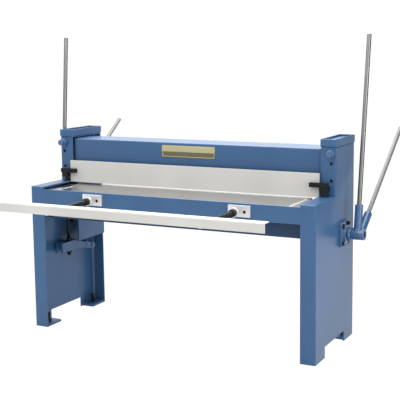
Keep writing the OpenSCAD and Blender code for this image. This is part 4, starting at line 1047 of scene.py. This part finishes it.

# %% [markdown]
# ## Table
#
# A slot near the table's left end has a bright, ground rim. It is a sleeve of four walls: the slot's
# outline and a smaller one inside it, each at two levels. Its near-white colour, without metal, is a
# painted highlight for the glint of the ground steel. An Inset in Edit Mode would draw the rim on the
# table, but the table's mesh isn't changed.


# %% Table slot
slot_low, slot_high = (-0.7235, -0.2495), (-0.6985, -0.1585)
sleeve_t, sleeve_sunk = 0.004, 0.0004
table_low, table_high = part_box("table_plate")
# Painted highlight: a near-white finish without metal, for the glint of ground steel edges.
ground_highlight_painted_finish = paint("ground_highlight_painted", (0.66, 0.67, 0.68), (0.90, 0.90, 0.90), 0.35)


def stadium(low, high, inset, columns=48):
    """The outline of a slot, inset from a box: half circles at its two ends along Y."""
    radius = (high[0] - low[0]) / 2.0
    angle = turns(columns)
    reach = np.where(np.sin(angle) >= 0.0, high[1] - radius, low[1] + radius)
    x = (low[0] + high[0]) / 2.0 + (radius - inset) * np.cos(angle)
    return np.stack([x, reach + (radius - inset) * np.sin(angle)], axis=-1)


outer, inner = stadium(slot_low, slot_high, 0.0), stadium(slot_low, slot_high, sleeve_t)
bottom, top = table_low.z, table_high.z - sleeve_sunk
sleeve = stacked([inner, outer, outer, inner, inner], [bottom, bottom, top, top, bottom])
piece("slot_sleeve", [sleeve], "machined_steel", "frame", (), ground_highlight_painted_finish)

# %% [markdown]
# The table's ends are ground to a light bevel, and the apron's top edge shows as a light line in front of
# it. A strip with three sides does for both. It lies in the step where two solids meet. The bevels get
# the near-white ground finish and the apron's strip the lighter fold blue: both colours are painted
# highlights, for the light that these edges catch.


# %% Table and apron edges
def bevel(corner, first, second, along):
    """A strip with three sides: the points of its section are a corner and the ends of two legs from it."""
    section = np.array([corner, np.add(corner, first), np.add(corner, second)])
    centre = np.tile(section.mean(axis=0), (3, 1))
    rows = np.stack([centre, section, section + along, centre + along])
    return rows.reshape(-1, 3), grid_faces(4, 3)


step_x, step_t = 0.745, 0.006
apron_edge_wide = 0.004
flat_shading_deg = 20.0
depth = (0.0, table_high.y - table_low.y, 0.0)
bevels = [bevel((side * step_x, table_low.y, table_high.z - step_t), (side * step_t, 0.0, 0.0),
                (0.0, 0.0, step_t), depth) for side, _ in sides]
piece("table_bevels", bevels, "table_steel", "frame", (), ground_highlight_painted_finish, flat_shading_deg)

apron_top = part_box("front_apron")[1].z
apron_edge = bevel((-step_x, table_low.y, apron_top), (0.0, -apron_edge_wide, 0.0),
                   (0.0, 0.0, table_high.z - apron_top), (2.0 * step_x, 0.0, 0.0))
piece("apron_edge", [apron_edge], "blue_paint", "frame", (), fold_highlight_painted_finish, flat_shading_deg)

# %% [markdown]
# ## Plate on the beam
#
# A bare plate in two tones is riveted to the middle of the beam, with a narrow brass border. A cube with a
# Bevel modifier is the usual start. Here a sphere is cut into eight parts that move to the corners of a
# box, which is the same shape in one formula. The tones come from the height alone, so no picture is
# needed.


# %% Plate surfaces
def rounded_box(low, high, radius, steps=5):
    """A box with round edges: a sphere of that radius whose eight parts are moved to the box's corners."""
    low, high = np.array(low, float), np.array(high, float)
    quarter = np.linspace(0.0, np.pi / 2.0, steps)
    angle = np.concatenate([quarter + n * np.pi / 2.0 for n in range(4)])
    tilt = np.concatenate([quarter - np.pi / 2.0, quarter])
    across = np.repeat([(1, 1), (0, 1), (0, 0), (1, 0)], steps, axis=0)
    upper = np.repeat([0, 1], steps)
    ball = np.stack([np.cos(tilt)[:, None] * np.cos(angle), np.cos(tilt)[:, None] * np.sin(angle),
                     np.sin(tilt)[:, None] * np.ones(len(angle))], axis=-1)
    corner = np.empty_like(ball)
    corner[..., 0] = across[:, 0]
    corner[..., 1] = across[:, 1]
    corner[..., 2] = upper[:, None]
    points = low + radius + corner * (high - low - 2.0 * radius) + radius * ball
    rows, columns = ball.shape[:2]
    return points.reshape(-1, 3), grid_faces(rows, columns)


def two_tone(name, upper, lower, level, roughness, metal=0.55, fade=0.0004, edge=0.0005):
    """An enamelled plate: one colour above a level in metres, another below it."""
    material, tree, shader, place = new_material(name)
    parts = tree.nodes.new("ShaderNodeSeparateXYZ")
    tree.links.new(place, parts.inputs["Vector"])
    above = remap(tree, parts.outputs["Z"], 0.0, 1.0, level - fade, level + fade)
    tree.links.new(blend_colours(tree, above, lower, upper), shader.inputs["Base Color"])
    shader.inputs["Metallic"].default_value = metal
    shader.inputs["Roughness"].default_value = roughness
    tree.links.new(soft_edges(tree, edge), shader.inputs["Normal"])
    return material


plate_finish = two_tone("plate_enamel", (0.44, 0.41, 0.25), (0.14, 0.132, 0.085), 1.057, 0.42)
brass = steel("brass", (0.66, 0.54, 0.20), (0.52, 0.42, 0.15), 0.34, along_x)
print("plate finishes:", plate_finish.name, brass.name)

# %% Plate, border and rivets
beam_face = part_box("upper_beam")[0].y
plate_low, plate_high = np.array((-0.191, 1.025)), np.array((0.158, 1.093))
plate_t, plate_soft = 0.002, 0.0009
plate_face = beam_face - plate_t


def on_beam(low, high, front, back, radius):
    """A rounded box from the corners of its front, given as x and z, and the y of its front and back."""
    return rounded_box((low[0], front, low[1]), (high[0], back, high[1]), radius)


plate = on_beam(plate_low, plate_high, plate_face, beam_face, plate_soft)
piece("bare_plate", [plate], "bronze", "blade_beam", (), plate_finish)

rim_t, rim_wide, rim_inset, rim_soft = 0.0006, 0.003, 0.002, 0.00025
rim_low, rim_high = plate_low + rim_inset, plate_high - rim_inset
rim_bars = [(rim_low, (rim_high[0], rim_low[1] + rim_wide)),
            ((rim_low[0], rim_high[1] - rim_wide), rim_high),
            (rim_low, (rim_low[0] + rim_wide, rim_high[1])),
            ((rim_high[0] - rim_wide, rim_low[1]), rim_high)]
rims = [on_beam(low, high, plate_face - rim_t, plate_face, rim_soft) for low, high in rim_bars]
piece("plate_border", rims, "bronze", "blade_beam", (), brass)

rivet_inset, rivet_radius, rivet_top = 0.010, 0.003, 0.0024
rivet_side, rivet_tall, rivet_soft = 0.0014, 0.0018, 0.001
rivet = lathe(soften([(0.0, 0.0), (rivet_radius, 0.0), (rivet_top, rivet_side), (0.0, rivet_tall)],
                     rivet_soft), 24)
rivet_places = [(x, z) for x in (plate_low[0] + rivet_inset, plate_high[0] - rivet_inset)
                for z in (plate_low[1] + rivet_inset, plate_high[1] - rivet_inset)]
rivets = [placed(rivet, (x, plate_face, z), frontward, upward) for x, z in rivet_places]
piece("plate_rivets", rivets, "machined_steel", "blade_beam")
